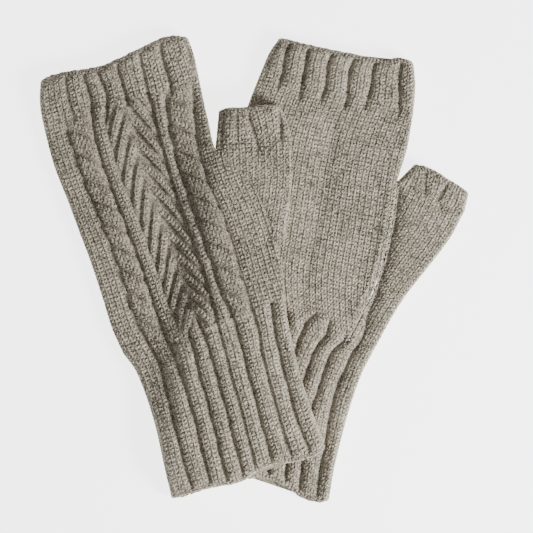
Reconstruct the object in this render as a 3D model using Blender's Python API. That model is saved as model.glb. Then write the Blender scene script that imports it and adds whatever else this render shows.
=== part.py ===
"""A pair of fingerless cable-knit mittens, laid flat with one lying partly on the other.

The left mitten lies back side up. Its right half is draped over the right mitten, which lies on its own back
with the plain palm up. Each mitten is a ribbed cuff, a back and a palm panel, a ribbed finger band, a thumb
with its gusset, and a ribbed thumb band. Lengths in the tables are in millimetres. Every piece is a wall of
knitted cloth: ribs and cables rise from its outer side and its inner side is plain. A flattened piece has an
upper and a lower run of cloth, joined round the folds at its edges.
"""
import math
from bisect import bisect_right
from collections import namedtuple

import bpy
import bmesh
from mathutils import Matrix, Vector

# Sizes in millimetres
MM = 0.001                 # metres in a millimetre
WALL = 2.0                 # thickness of the plain knitted cloth
INNER_GAP = 0.6            # hollow between the upper and lower cloth of a flattened panel
SEAM = 0.3                 # gap between neighbouring pieces
FOLD = WALL + INNER_GAP / 2    # outer radius of a folded panel edge
HALF = FOLD + SEAM / 2     # half the thickness of a flattened mitten
RIB_HEIGHT = 1.2           # rise of a rib of the cuffs and bands
ROPE_HEIGHT = 1.5          # rise of a rope cable
CHEVRON_HEIGHT = 1.4       # rise of the stacked chevron cables
BAR_HEIGHT = 1.0           # rise of the straight ribs between the cables
PITCH = 12.3               # length of one cable crossing along the hand
STRAND_SPAN = 1.4          # crossings that one strand passes on its way across its cable
PHASES = 5                 # cross sections in each cable crossing
PALM_TROUGH = 0.6          # depth of the soft trough down the right palm
RELIEF_FADE = 4.0          # length over which ribs and cables rise at the end of a piece
END_ROUND = 2.4            # radius of the corners at a hem or band edge
END_ROLL = 0.5             # thinning of the cloth right at a hem or band edge
BOW_FADE = 16.0            # length over which the waves of a hem die out
BAND_OPENING = 0.9         # rise of the upper cloth in the middle of a slightly open mouth
DRAPE_RUN = 26.0           # distance over which the upper mitten comes down beside the lower one
DRAPE_MARGIN = 2.5         # distance round the lower mitten at which that descent starts
CLEARANCE = 0.3            # gap between the upper mitten and the one it lies on
FOLD_STEPS = 3             # facets in a quarter of a folded edge
FULL_FOLD = 90.0           # degrees of a folded edge, from the top face down to mid-height
SEAM_ROLL = 35.0           # degrees that a cut edge rolls down along the thumb seam

CUFF_TOP = 78.0            # distance from the hem to the top of the cuff
BAND_FOOT = 196.0          # distance from the hem to the foot of the finger band
BOX_CENTRE = (-0.065, 0.23)    # plan centre of the whole outline before it is moved to the origin

Course = namedtuple("Course", "name along left right")
Wave = namedtuple("Wave", "across offset")
Column = namedtuple("Column", "name kind start end cells height")
Folds = namedtuple("Folds", "left right")
Mitten = namedtuple("Mitten", "side cuff hand thumb height hem top tip band_grooves thumb_grooves hem_opening")

# Courses of each mitten from the hem up: distance along it, and its left and right edges
LEFT_CUFF = (
    Course("hem", 0.0, (-41.1, -114.8), (35.9, -89.3)),
    Course("cuff_low", 12.0, (-44.0, -102.4), (31.6, -78.0)),
    Course("cuff_mid", 38.0, (-49.9, -76.3), (23.3, -53.1)),
    Course("cuff_high", 65.0, (-58.6, -52.0), (17.4, -28.0)),
    Course("cuff_top", CUFF_TOP, (-65.5, -41.9), (15.4, -15.3)),
)
LEFT_HAND = (
    Course("cuff_top", CUFF_TOP, (-65.5, -41.9), (15.4, -15.3)),
    Course("heel", 92.0, (-71.3, -28.9), (14.2, 0.3)),
    Course("gusset", 105.0, (-75.5, -15.3), (11.6, 13.3)),
    Course("palm", 125.0, (-82.0, 4.4), (3.9, 31.9)),
    Course("crotch_low", 142.0, (-87.9, 20.0), (-4.1, 47.0)),
    Course("crotch", 158.0, (-93.1, 34.1), (-18.3, 58.7)),
    Course("knuckle", 175.0, (-99.8, 51.2), (-23.1, 75.0)),
    Course("band_foot", BAND_FOOT, (-105.2, 71.4), (-27.6, 95.8)),
    Course("band_mid", 208.0, (-107.3, 83.8), (-30.2, 107.7)),
    Course("band_top", 219.0, (-106.7, 96.3), (-33.7, 117.3)),
)
LEFT_THUMB = (
    Course("base", 0.0, (11.9, 13.4), (15.2, 12.0)),
    Course("gore", 13.0, (7.6, 24.6), (16.2, 23.6)),
    Course("swell", 27.0, (2.3, 37.0), (18.3, 37.0)),
    Course("thenar", 41.0, (-5.0, 49.2), (19.3, 49.6)),
    Course("crotch", 54.0, (-18.7, 59.2), (18.8, 61.5)),
    Course("band_foot", 61.0, (-18.6, 67.0), (18.0, 69.0)),
    Course("tip", 75.0, (-17.4, 80.3), (12.9, 82.5)),
)
# Courses of the right mitten, whose wrist bends, so that its cuff leans more than its hand
RIGHT_CUFF = (
    Course("hem", 0.0, (-34.5, -91.0), (37.4, -115.6)),
    Course("cuff_low", 18.0, (-31.2, -73.2), (40.6, -97.5)),
    Course("cuff_mid", 45.0, (-24.6, -47.5), (47.3, -71.5)),
    Course("cuff_high", 66.0, (-17.8, -27.5), (54.0, -52.0)),
    Course("cuff_top", CUFF_TOP, (-13.6, -15.8), (59.5, -41.3)),
)
RIGHT_HAND = (
    Course("cuff_top", CUFF_TOP, (-13.6, -15.8), (47.0, -37.0)),
    Course("heel", 92.0, (-16.0, -3.0), (53.7, -22.3)),
    Course("gusset", 105.0, (-16.4, 9.0), (59.8, -10.2)),
    Course("palm", 125.0, (-13.8, 27.0), (65.9, 9.7)),
    Course("crotch_low", 142.0, (-11.0, 44.0), (69.5, 27.2)),
    Course("crotch", 158.0, (-8.6, 60.0), (71.6, 43.7)),
    Course("knuckle", 175.0, (-4.8, 77.0), (76.6, 60.8)),
    Course("band_foot", BAND_FOOT, (3.0, 97.5), (80.0, 81.5)),
    Course("band_mid", 208.0, (7.7, 108.5), (80.7, 93.5)),
    Course("band_top", 219.0, (13.3, 116.5), (79.7, 103.5)),
)
RIGHT_THUMB = (
    Course("base", 0.0, (47.0, -37.0), (59.5, -41.3)),
    Course("heel", 15.0, (53.7, -22.3), (68.4, -25.0)),
    Course("gusset", 30.0, (59.8, -10.2), (76.4, -12.4)),
    Course("swell", 50.0, (65.9, 9.7), (88.6, 3.0)),
    Course("thenar", 68.0, (69.5, 27.2), (98.4, 16.2)),
    Course("crotch", 85.0, (71.9, 43.7), (105.2, 29.0)),
    Course("band_foot", 86.0, (72.4, 44.6), (105.6, 29.8)),
    Course("tip", 97.5, (81.2, 53.3), (107.5, 38.9)),
)
SEAM_ENDS = {"left": (105.0, 158.0), "right": (CUFF_TOP, 158.0)}    # stretch of the hand sewn to the thumb

# Waves of the free edges: place across the edge, and distance that the edge reaches past its course
LEFT_HEM = (Wave(0.0, 0.4), Wave(0.24, 0.5), Wave(0.42, 2.2), Wave(0.55, 0.1), Wave(0.68, -0.5),
            Wave(0.81, 1.5), Wave(0.95, 1.4), Wave(1.0, 0.2))
LEFT_TOP = (Wave(0.0, -0.6), Wave(0.15, -0.8), Wave(0.42, -3.0), Wave(0.67, -0.1), Wave(0.86, 2.0),
            Wave(1.0, -0.2))
RIGHT_HEM = (Wave(0.0, 0.0), Wave(0.2, 0.8), Wave(0.43, 2.6), Wave(0.52, 0.4), Wave(0.62, -0.3),
             Wave(0.72, 0.4), Wave(0.81, 2.8), Wave(0.93, 2.4), Wave(1.0, 0.9))
RIGHT_TOP = (Wave(0.0, 0.0), Wave(0.11, -1.2), Wave(0.32, -2.0), Wave(0.5, -2.0), Wave(0.8, -1.7),
             Wave(0.88, 0.9), Wave(1.0, 1.2))
LEFT_TIP = (Wave(0.0, -0.2), Wave(0.2, -0.1), Wave(0.5, -0.7), Wave(0.8, 0.1), Wave(1.0, 0.0))
RIGHT_TIP = (Wave(0.0, 0.0), Wave(0.3, 0.9), Wave(0.6, 0.3), Wave(1.0, 0.2))
STRAIGHT = (Wave(0.0, 0.0), Wave(1.0, 0.0))

# Columns of the left back at mid-hand, from the left fold
CABLE_COLUMNS = (
    Column("rope_left", "rope", 11.7, 22.2, 7, ROPE_HEIGHT),
    Column("rib_left", "rib", 23.0, 29.2, 3, BAR_HEIGHT),
    Column("chevrons", "chevron", 29.7, 51.7, 14, CHEVRON_HEIGHT),
    Column("rib_right", "rib", 52.4, 56.7, 3, BAR_HEIGHT),
    Column("rope_right", "rope", 57.5, 67.7, 7, ROPE_HEIGHT),
)
PLAIN_MIDDLE = 5.6         # middle of the plain stretch beside the left fold
COLUMN_SPREAD = 0.03       # share by which the columns widen at the top of the hand, and narrow at its foot
RIB_FLANK = 0.24           # place of a rib's shoulder, as a share of the rib's width

# Grooves between the ribs, as shares of the width
CUFF_GROOVES = tuple(k / 9 for k in range(10))
LEFT_BAND_GROOVES = tuple(0.047 + 0.122 * k for k in range(8))
RIGHT_BAND_GROOVES = (0.012, 0.139, 0.267, 0.409, 0.554, 0.711, 0.882, 0.985)
LEFT_THUMB_GROOVES = (0.06, 0.42, 0.75, 0.97)
RIGHT_THUMB_GROOVES = (0.05, 0.33, 0.6, 0.95)

# Rows along each piece, as distances from its lower end to its upper end
END_ROWS = (0.0, 0.7, 2.2)
CUFF_ROWS = (6.0, 16.0, 28.0, 40.0, 52.0, 62.0, 70.0)
BAND_ROWS = (7.0, 13.0, 18.0)

WOOL = {                   # base colour of the wool of each piece
    "cuff": (0.262, 0.234, 0.188),
    "back": (0.258, 0.231, 0.186),
    "palm": (0.275, 0.248, 0.202),
    "finger_band": (0.266, 0.239, 0.193),
    "thumb": (0.280, 0.252, 0.206),
    "thumb_band": (0.270, 0.243, 0.198),
}
WOOL_ROUGHNESS = 0.95


def smooth(share):
    """Ease a share from 0 to 1 with level ends."""
    share = min(max(share, 0.0), 1.0)
    return share * share * (3.0 - 2.0 * share)


def spline(knots, values, place):
    """Value at a place on a smooth curve through knots; past its ends the curve runs on straight."""
    def slope(i):
        low, high = max(i - 1, 0), min(i + 1, len(knots) - 1)
        return (values[high] - values[low]) / (knots[high] - knots[low])
    if place <= knots[0]:
        return values[0] + slope(0) * (place - knots[0])
    if place >= knots[-1]:
        return values[-1] + slope(len(knots) - 1) * (place - knots[-1])
    i = bisect_right(knots, place) - 1
    span = knots[i + 1] - knots[i]
    u = (place - knots[i]) / span
    return (values[i] * (1 + 2 * u) * (1 - u) ** 2 + values[i + 1] * u * u * (3 - 2 * u)
            + span * (slope(i) * u * (1 - u) ** 2 + slope(i + 1) * u * u * (u - 1)))


def edges(courses, along):
    """Left and right edge points of a mitten at a distance along it."""
    knots = [course.along for course in courses]
    return (spline(knots, [Vector(course.left) for course in courses], along),
            spline(knots, [Vector(course.right) for course in courses], along))


def width_at(courses, along):
    left, right = edges(courses, along)
    return (right - left).length


def wave(waves, share):
    """Distance that a free edge reaches past its course at a share of its width."""
    return spline([w.across for w in waves], [w.offset for w in waves], share)


def outline(courses, steps=24):
    """Plan outline of a run of courses."""
    first, last = courses[0].along, courses[-1].along
    pairs = [edges(courses, first + (last - first) * k / steps) for k in range(steps + 1)]
    return [left for left, _ in pairs] + [right for _, right in reversed(pairs)]


def distance_outside(point, polygon):
    """Distance from a plan point to a polygon, or 0 inside it."""
    inside, nearest = False, math.inf
    for a, b in zip(polygon, polygon[1:] + polygon[:1]):
        if (a.y > point.y) != (b.y > point.y) and point.x < a.x + (b.x - a.x) * (point.y - a.y) / (b.y - a.y):
            inside = not inside
        side = b - a
        u = min(max((point - a).dot(side) / max(side.length_squared, 1e-9), 0.0), 1.0)
        nearest = min(nearest, (point - a - side * u).length)
    return 0.0 if inside else nearest


LOWER_OUTLINES = [outline(courses) for courses in (RIGHT_CUFF, RIGHT_HAND, RIGHT_THUMB)]
CUFF_LINE = [Vector(point) for point in (RIGHT_CUFF[-1].left, RIGHT_CUFF[-1].right)]


def drape(point):
    """Height of the upper mitten's underside: on the lower mitten, and down to the floor beside it."""
    reach = min(distance_outside(point, polygon) for polygon in LOWER_OUTLINES)
    line = CUFF_LINE[1] - CUFF_LINE[0]
    above_cuff = (point - CUFF_LINE[0]).dot(Vector((-line.y, line.x)).normalized())
    top = 2 * HALF + RIB_HEIGHT * smooth(1.0 - above_cuff / (2 * RELIEF_FADE))
    return (top + CLEARANCE) * smooth(1.0 - (reach - DRAPE_MARGIN) / DRAPE_RUN)


def flat(_point):
    """Height of the lower mitten's underside."""
    return 0.0


def rib_stations(grooves):
    """Shares of the width at which a ribbed run has its points: grooves, shoulders and crests."""
    stations = []
    for low, high in zip(grooves, grooves[1:]):
        stations += [low + (high - low) * share for share in (0.0, RIB_FLANK, 0.5, 1.0 - RIB_FLANK)]
    return [share for share in stations + [grooves[-1]] if 0.0 < share < 1.0]


def rib_relief(grooves):
    """Relief of 2x2 ribs between grooves, as a function of the share of the width."""
    def relief(share):
        for low, high in zip(grooves, grooves[1:]):
            if low <= share <= high:
                u = abs(2 * (share - low) / (high - low) - 1)
                return RIB_HEIGHT * (1 - u ** 3.2)
        return 0.0
    return relief


def strand(phase):
    """Round profile of a cable strand; whole phases are the gutters between strands."""
    u = abs(2 * (phase - math.floor(phase + 1e-6)) - 1)
    return 1 - min(u, 1.0) ** 3


def column_relief(column, share, along):
    """Relief of one column of the left back, at a share of its width and a distance along the hand."""
    if column.kind == "rib":
        return column.height * (1 - abs(2 * share - 1) ** 3.2)
    if column.kind == "rope":
        phase = (along - CUFF_TOP) / PITCH + STRAND_SPAN * share
        return column.height * (1 - abs(2 * share - 1) ** 4) * (0.25 + 0.75 * strand(phase))
    from_apex = abs(2 * share - 1)
    phase = (along - CUFF_TOP) / PITCH + STRAND_SPAN * from_apex
    return column.height * (1 - from_apex ** 6) * (0.1 + 0.9 * strand(phase))


class Piece:
    """One knitted piece: its courses, the stretch it takes of them, and the form of its cloth."""

    def __init__(self, name, courses, start, end, height=flat, waves=(STRAIGHT, STRAIGHT), free=(False, False),
                 seam=None, opening=0.0):
        self.name, self.courses, self.height, self.waves = name, courses, height, waves
        self.free, self.seam, self.opening = free, seam, opening
        self.start = start if free[0] else start + SEAM / 2
        self.end = end if free[1] else end - SEAM / 2

    def folds(self, along):
        """Degrees of fold at the left and right edges; an edge sewn to the thumb only rolls a little."""
        if self.seam is None:
            return Folds(FULL_FOLD, FULL_FOLD)
        side, low, high = self.seam
        share = smooth((along - low) / RELIEF_FADE + 0.5) * smooth((high - along) / RELIEF_FADE + 0.5)
        angle = FULL_FOLD + (SEAM_ROLL - FULL_FOLD) * share
        return Folds(angle, FULL_FOLD) if side == "left" else Folds(FULL_FOLD, angle)

    def end_distance(self, along):
        """Distance to the nearest free end."""
        low = along - self.start if self.free[0] else math.inf
        high = self.end - along if self.free[1] else math.inf
        return max(min(low, high), 0.0)

    def plan(self, across, along):
        """Plan point at a distance across and along, with the waves and round corners of free ends."""
        left, right = edges(self.courses, along)
        width = (right - left).length
        near = min(self.end_distance(along), END_ROUND)
        inset = END_ROUND - math.sqrt(END_ROUND ** 2 - (END_ROUND - near) ** 2)
        if self.seam is not None:                      # keep half of the seam's gap on this piece's side
            low_inset, high_inset = (SEAM / 2, 0.0) if self.seam[0] == "left" else (0.0, SEAM / 2)
        else:
            low_inset, high_inset = inset, inset
        share = (low_inset + across * (1 - (low_inset + high_inset) / width)) / width
        shift = 0.0
        if self.free[0]:
            shift -= wave(self.waves[0], min(max(share, 0), 1)) * smooth(1 - (along - self.start) / BOW_FADE)
        if self.free[1]:
            shift += wave(self.waves[1], min(max(share, 0), 1)) * smooth(1 - (self.end - along) / BOW_FADE)
        left, right = edges(self.courses, along + shift)
        return left + (right - left) * share

    def run(self, along, body, depth, side, half, gap, relief):
        """Points of one run of cloth from the left edge to the right edge at a depth under its face.

        half is the outer radius of the folded edges, gap the extra distance from mid-height, side +1 for
        the upper run and -1 for the lower one, and body the shares of the width between the folds.
        """
        width = width_at(self.courses, along)
        folds = self.folds(along)
        left_angle, right_angle = math.radians(folds.left), math.radians(folds.right)
        first, last = half * math.sin(left_angle), width - half * math.sin(right_angle)
        thin = END_ROLL * (1 - min(self.end_distance(along) / END_ROWS[2], 1.0)) ** 2 if depth == 0 else 0.0
        radius = half - depth - thin
        stations = [(first - radius * math.sin(left_angle * k / FOLD_STEPS),
                     radius * math.cos(left_angle * k / FOLD_STEPS), 0.0) for k in range(FOLD_STEPS, 0, -1)]
        fade = self.fade(along)
        stations.append((first, radius, 0.0))
        for place in body(along, first, last, width):
            stations.append((place, radius, relief(place, along, width) * fade if depth == 0 else 0.0))
        stations.append((last, radius, 0.0))
        stations += [(last + radius * math.sin(right_angle * k / FOLD_STEPS),
                      radius * math.cos(right_angle * k / FOLD_STEPS), 0.0) for k in range(1, FOLD_STEPS + 1)]
        points = []
        for across, rise, raised in stations:
            plan = self.plan(across, along)
            lens = 0.0
            if side > 0 and self.opening:
                share = across / width
                lens = self.opening * 4 * share * (1 - share) * math.exp(-(self.end_distance(along) / 9) ** 2)
            points.append(Vector((plan.x, plan.y,
                                  HALF + self.height(plan) + side * (gap + rise + raised) + max(lens, 0.0))))
        return points

    def fade(self, along):
        """Share of the relief that stands at a distance along the piece; full but for its ends."""
        reach = min(along - self.start, self.end - along) / RELIEF_FADE
        return 0.3 + 0.7 * smooth(reach) if any(self.free) else smooth(0.25 + reach)


def no_relief(_place, _along, _width):
    return 0.0


def even_body(count):
    """Body stations spread evenly between the folds."""
    def body(_along, first, last, _width):
        return [first + (last - first) * (k + 1) / (count + 1) for k in range(count)]
    return body


def share_body(shares):
    """Body stations at fixed shares of the width, kept off the folds."""
    def body(_along, first, last, width):
        return [min(max(width * share, first + 0.4), last - 0.4) for share in shares]
    return body


def column_scale(along):
    """Spread of the cable columns, which fan out a little towards the fingers."""
    return 1 + COLUMN_SPREAD * (2 * (along - CUFF_TOP) / (BAND_FOOT - CUFF_TOP) - 1)


def cable_body(along, first, last, _width):
    """Body stations of the left back: each cable column split into its cells."""
    scale = column_scale(along)
    places = [PLAIN_MIDDLE * scale]
    for column in CABLE_COLUMNS:
        step = (column.end - column.start) / column.cells
        places += [(column.start + step * k) * scale for k in range(column.cells + 1)]
    rest = last - places[-1]
    return places + [places[-1] + rest * share for share in (0.3, 0.65)]


def cable_relief(place, along, _width):
    """Relief of the left back at a distance from the left fold."""
    place /= column_scale(along)
    for column in CABLE_COLUMNS:
        if column.start <= place <= column.end:
            return column_relief(column, (place - column.start) / (column.end - column.start), along)
    return 0.0


def trough_relief(place, along, width):
    """The soft trough down the right palm, deepest above the wrist."""
    across = (place / width - 0.45) / 0.16
    length = smooth((along - 84.0) / 30.0) * smooth((190.0 - along) / 50.0)
    return -PALM_TROUGH * math.exp(-across * across) * length


def ribbed(grooves):
    """Body stations and relief of a ribbed run."""
    relief = rib_relief(grooves)
    return share_body(rib_stations(grooves)), lambda place, _along, width: relief(place / width)


def zip_strip(mesh, first, second):
    """Join two open rows of vertices with triangles, whichever count of vertices each has."""
    i = j = 0
    while i < len(first) - 1 or j < len(second) - 1:
        first_next = (i + 1) / (len(first) - 1)
        second_next = (j + 1) / (len(second) - 1)
        if j == len(second) - 1 or (i < len(first) - 1 and first_next <= second_next):
            mesh.faces.new((first[i], first[i + 1], second[j]))
            i += 1
        else:
            mesh.faces.new((first[i], second[j + 1], second[j]))
            j += 1


def add_grid(mesh, rows, lean=None):
    """Fill a grid of points with triangles; lean says which way each column's cells are split."""
    vertices = [[mesh.verts.new(point * MM) for point in row] for row in rows]
    for low, high in zip(vertices, vertices[1:]):
        for k in range(len(low) - 1):
            a, b, c, d = low[k], low[k + 1], high[k + 1], high[k]
            if lean is not None and lean(k):
                mesh.faces.new((a, b, d))
                mesh.faces.new((b, c, d))
            else:
                mesh.faces.new((a, b, c))
                mesh.faces.new((a, c, d))
    return vertices


def close_rims(mesh, outer, inner):
    """Join the outer and inner grids of a wall round their four sides."""
    zip_strip(mesh, outer[0], inner[0])
    zip_strip(mesh, outer[-1], inner[-1])
    zip_strip(mesh, [row[0] for row in outer], [row[0] for row in inner])
    zip_strip(mesh, [row[-1] for row in outer], [row[-1] for row in inner])


def wool_material(name, colour):
    material = bpy.data.materials.new(name)
    material.use_nodes = True
    shader = material.node_tree.nodes["Principled BSDF"]
    shader.inputs["Base Color"].default_value = (*colour, 1.0)
    shader.inputs["Roughness"].default_value = WOOL_ROUGHNESS
    shader.inputs["Metallic"].default_value = 0.0
    return material


def finish(mesh, name, kind):
    """Turn a mesh into a named object with its own wool."""
    bmesh.ops.recalc_face_normals(mesh, faces=mesh.faces)
    data = bpy.data.meshes.new(name)
    mesh.to_mesh(data)
    mesh.free()
    data.shade_smooth()
    data.set_sharp_from_angle(angle=math.radians(50))
    data.materials.append(wool_material(f"{name}_wool", WOOL[kind]))
    thing = bpy.data.objects.new(name, data)
    bpy.context.scene.collection.objects.link(thing)
    return thing


def spaced(start, end, step):
    """Rows from start to end, about a step apart."""
    count = max(round((end - start) / step), 1)
    return [start + (end - start) * k / count for k in range(count + 1)]


def ring(upper, lower):
    """Closed section from an upper and a lower run that meet at both folds."""
    return upper + lower[-2:0:-1]


def make_tube(piece, kind, rows, upper_body, relief, lower_count, inner_rows):
    """A flattened tube: ribbed above, plain below, with a plain inside and open ends."""
    mesh = bmesh.new()
    lower_body, inner_body = even_body(lower_count), even_body(6)

    def section(along, body_up, body_down, depth, raised):
        return ring(piece.run(along, body_up, depth, 1, HALF, 0.0, raised),
                    piece.run(along, body_down, depth, -1, HALF, 0.0, no_relief))
    outer = [section(along, upper_body, lower_body, 0.0, relief) for along in rows]
    inner = [section(along, inner_body, inner_body, WALL, no_relief) for along in inner_rows]
    outer = add_ring_grid(mesh, outer)
    inner = add_ring_grid(mesh, inner)
    for end in (0, -1):
        zip_strip(mesh, outer[end] + outer[end][:1], inner[end] + inner[end][:1])
    return finish(mesh, piece.name, kind)


def add_ring_grid(mesh, rows):
    """Join closed sections, each to the next, with triangles."""
    vertices = [[mesh.verts.new(point * MM) for point in row] for row in rows]
    for low, high in zip(vertices, vertices[1:]):
        for k, a in enumerate(low):
            b, c, d = low[(k + 1) % len(low)], high[(k + 1) % len(low)], high[k]
            mesh.faces.new((a, b, c))
            mesh.faces.new((a, c, d))
    return vertices


def make_panel(piece, kind, rows, side, body, relief, inner_count, lean=None):
    """An upper or lower panel whose folded edges end at mid-height."""
    mesh = bmesh.new()
    inner_rows = spaced(rows[0], rows[-1], 7.0)
    outer = add_grid(mesh, [piece.run(along, body, 0.0, side, FOLD, SEAM / 2, relief) for along in rows], lean)
    inner_body = even_body(inner_count)
    inner = add_grid(mesh, [piece.run(along, inner_body, WALL, side, FOLD, SEAM / 2, no_relief)
                            for along in inner_rows])
    close_rims(mesh, outer, inner)
    return finish(mesh, piece.name, kind)


def make_thumb(piece, rows, inner_rows):
    """A thumb: folded at its outer edge, with the two edges of its seam one above the other."""
    mesh = bmesh.new()

    def section(along, count, depth):
        body = even_body(count)
        upper = piece.run(along, body, depth, 1, FOLD, SEAM / 2, no_relief)
        return upper + piece.run(along, body, depth, -1, FOLD, SEAM / 2, no_relief)[::-1]
    outer = add_grid(mesh, [section(along, 5, 0.0) for along in rows])
    inner = add_grid(mesh, [section(along, 3, WALL) for along in inner_rows])
    close_rims(mesh, outer, inner)
    return finish(mesh, piece.name, "thumb")


def leaning_left(k):
    """Whether the cells of an outer column of the left back are split along strands that lean left."""
    first = FOLD_STEPS + 2
    for column in CABLE_COLUMNS:
        cell = k - first
        if 0 <= cell < column.cells:
            return column.kind == "rope" or (column.kind == "chevron" and cell >= column.cells / 2)
        first += column.cells + 1
    return False


def free_rows(piece):
    """Rows of an upper band: close together at its free edge, wider below."""
    places = END_ROWS + tuple(row for row in BAND_ROWS if row < piece.end - piece.start - RELIEF_FADE)
    return [piece.start] + [piece.end - place for place in places[::-1]]


def make_cuff(mitten):
    piece = Piece(f"{mitten.side}_cuff", mitten.cuff, 0.0, CUFF_TOP, mitten.height, (mitten.hem, STRAIGHT),
                  (True, False), opening=mitten.hem_opening)
    body, relief = ribbed(CUFF_GROOVES)
    rows = list(END_ROWS + CUFF_ROWS) + [piece.end]
    inner_rows = [piece.start] + spaced(8.0, piece.end, 10.0)
    make_tube(piece, "cuff", rows, body, relief, 13, inner_rows)


def make_finger_band(mitten):
    piece = Piece(f"{mitten.side}_finger_band", mitten.hand, BAND_FOOT, mitten.hand[-1].along, mitten.height,
                  (STRAIGHT, mitten.top), (False, True), opening=BAND_OPENING)
    body, relief = ribbed(mitten.band_grooves)
    make_tube(piece, "finger_band", free_rows(piece), body, relief, 13, spaced(piece.start, piece.end, 5.0))


def make_hand(mitten):
    """The back and the palm: the one that lies on top in full form, the other one plain under it."""
    seam = ("right",) + SEAM_ENDS[mitten.side]
    back = Piece(f"{mitten.side}_back", mitten.hand, CUFF_TOP, BAND_FOOT, mitten.height, seam=seam)
    palm = Piece(f"{mitten.side}_palm", mitten.hand, CUFF_TOP, BAND_FOOT, mitten.height, seam=seam)
    if mitten.side == "left":
        count = int((back.end - CUFF_TOP) * PHASES / PITCH)
        rows = [back.start] + [CUFF_TOP + PITCH * (k + 1) / PHASES for k in range(count)] + [back.end]
        make_panel(back, "back", rows, 1, cable_body, cable_relief, 14, leaning_left)
        make_panel(palm, "palm", spaced(palm.start, palm.end, 5.6), -1, even_body(14), no_relief, 14)
    else:
        make_panel(palm, "palm", spaced(palm.start, palm.end, 5.6), 1, even_body(14), trough_relief, 11)
        make_panel(back, "back", spaced(back.start, back.end, 9.0), -1, even_body(7), no_relief, 14)


def make_thumb_pieces(mitten):
    crotch, foot, tip = (course.along for course in mitten.thumb[-3:])
    piece = Piece(f"{mitten.side}_thumb", mitten.thumb, 0.0, foot, mitten.height,
                  seam=("left", -2 * RELIEF_FADE, crotch))
    make_thumb(piece, spaced(piece.start, piece.end, 5.5), spaced(piece.start, piece.end, 8.0))
    piece = Piece(f"{mitten.side}_thumb_band", mitten.thumb, foot, tip, mitten.height, (STRAIGHT, mitten.tip),
                  (False, True), opening=BAND_OPENING)
    body, relief = ribbed(mitten.thumb_grooves)
    make_tube(piece, "thumb_band", free_rows(piece), body, relief, 6, spaced(piece.start, piece.end, 5.0))


def main():
    for thing in list(bpy.data.objects):
        bpy.data.objects.remove(thing)
    right = Mitten("right", RIGHT_CUFF, RIGHT_HAND, RIGHT_THUMB, flat, RIGHT_HEM, RIGHT_TOP, RIGHT_TIP,
                   RIGHT_BAND_GROOVES, RIGHT_THUMB_GROOVES, 0.0)
    left = Mitten("left", LEFT_CUFF, LEFT_HAND, LEFT_THUMB, drape, LEFT_HEM, LEFT_TOP, LEFT_TIP,
                  LEFT_BAND_GROOVES, LEFT_THUMB_GROOVES, BAND_OPENING)
    for mitten in (right, left):
        make_cuff(mitten)
        make_hand(mitten)
        make_finger_band(mitten)
        make_thumb_pieces(mitten)
    to_origin = Matrix.Translation(Vector((-BOX_CENTRE[0], -BOX_CENTRE[1], 0.0)) * MM)
    for thing in bpy.data.objects:
        thing.data.transform(to_origin)


main()
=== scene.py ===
"""Looks of a pair of fingerless cable-knit mittens, laid flat with one lying partly on the other.

Each knitted piece is a thin wall of wool on the form of its solid, with the stitches of its yarn laid on it.
A stitch of plain knitting is a V of two legs. The legs of a piece run in wales, which go straight up plain and
ribbed cloth and follow the crossing strands of the cables. Lengths in the tables and in the knitting are in
millimetres, on the plan of the laid-out pair; meshes are written in metres.
"""
from __future__ import annotations

import logging
import math
from collections.abc import Callable, Sequence
from dataclasses import dataclass, field, fields, replace
from enum import Enum
from typing import Self

import bmesh
import bpy
import numpy as np
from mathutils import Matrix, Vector

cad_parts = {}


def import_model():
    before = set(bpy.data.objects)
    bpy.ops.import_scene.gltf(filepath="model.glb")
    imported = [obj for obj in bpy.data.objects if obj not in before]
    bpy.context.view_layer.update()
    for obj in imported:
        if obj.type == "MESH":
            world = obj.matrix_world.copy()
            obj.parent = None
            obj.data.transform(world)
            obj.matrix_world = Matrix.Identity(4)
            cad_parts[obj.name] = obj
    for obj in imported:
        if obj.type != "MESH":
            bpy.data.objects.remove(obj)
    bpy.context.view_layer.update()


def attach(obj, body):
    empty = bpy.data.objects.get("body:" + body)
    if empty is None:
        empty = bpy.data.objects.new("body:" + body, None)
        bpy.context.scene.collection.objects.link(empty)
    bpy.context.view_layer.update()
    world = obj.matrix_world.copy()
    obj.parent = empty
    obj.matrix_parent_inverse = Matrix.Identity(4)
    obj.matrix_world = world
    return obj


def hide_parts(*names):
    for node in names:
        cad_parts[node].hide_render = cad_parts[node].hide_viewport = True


log = logging.getLogger("mittens")

Array = np.ndarray
Height = Callable[[Array], Array]

MM = 0.001                     # metres in a millimetre
BOX_CENTRE = (-0.065, 0.23)    # plan centre of the laid-out pair, in the tables' millimetres


# ---------------------------------------------------------------- sizes and tables

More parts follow.
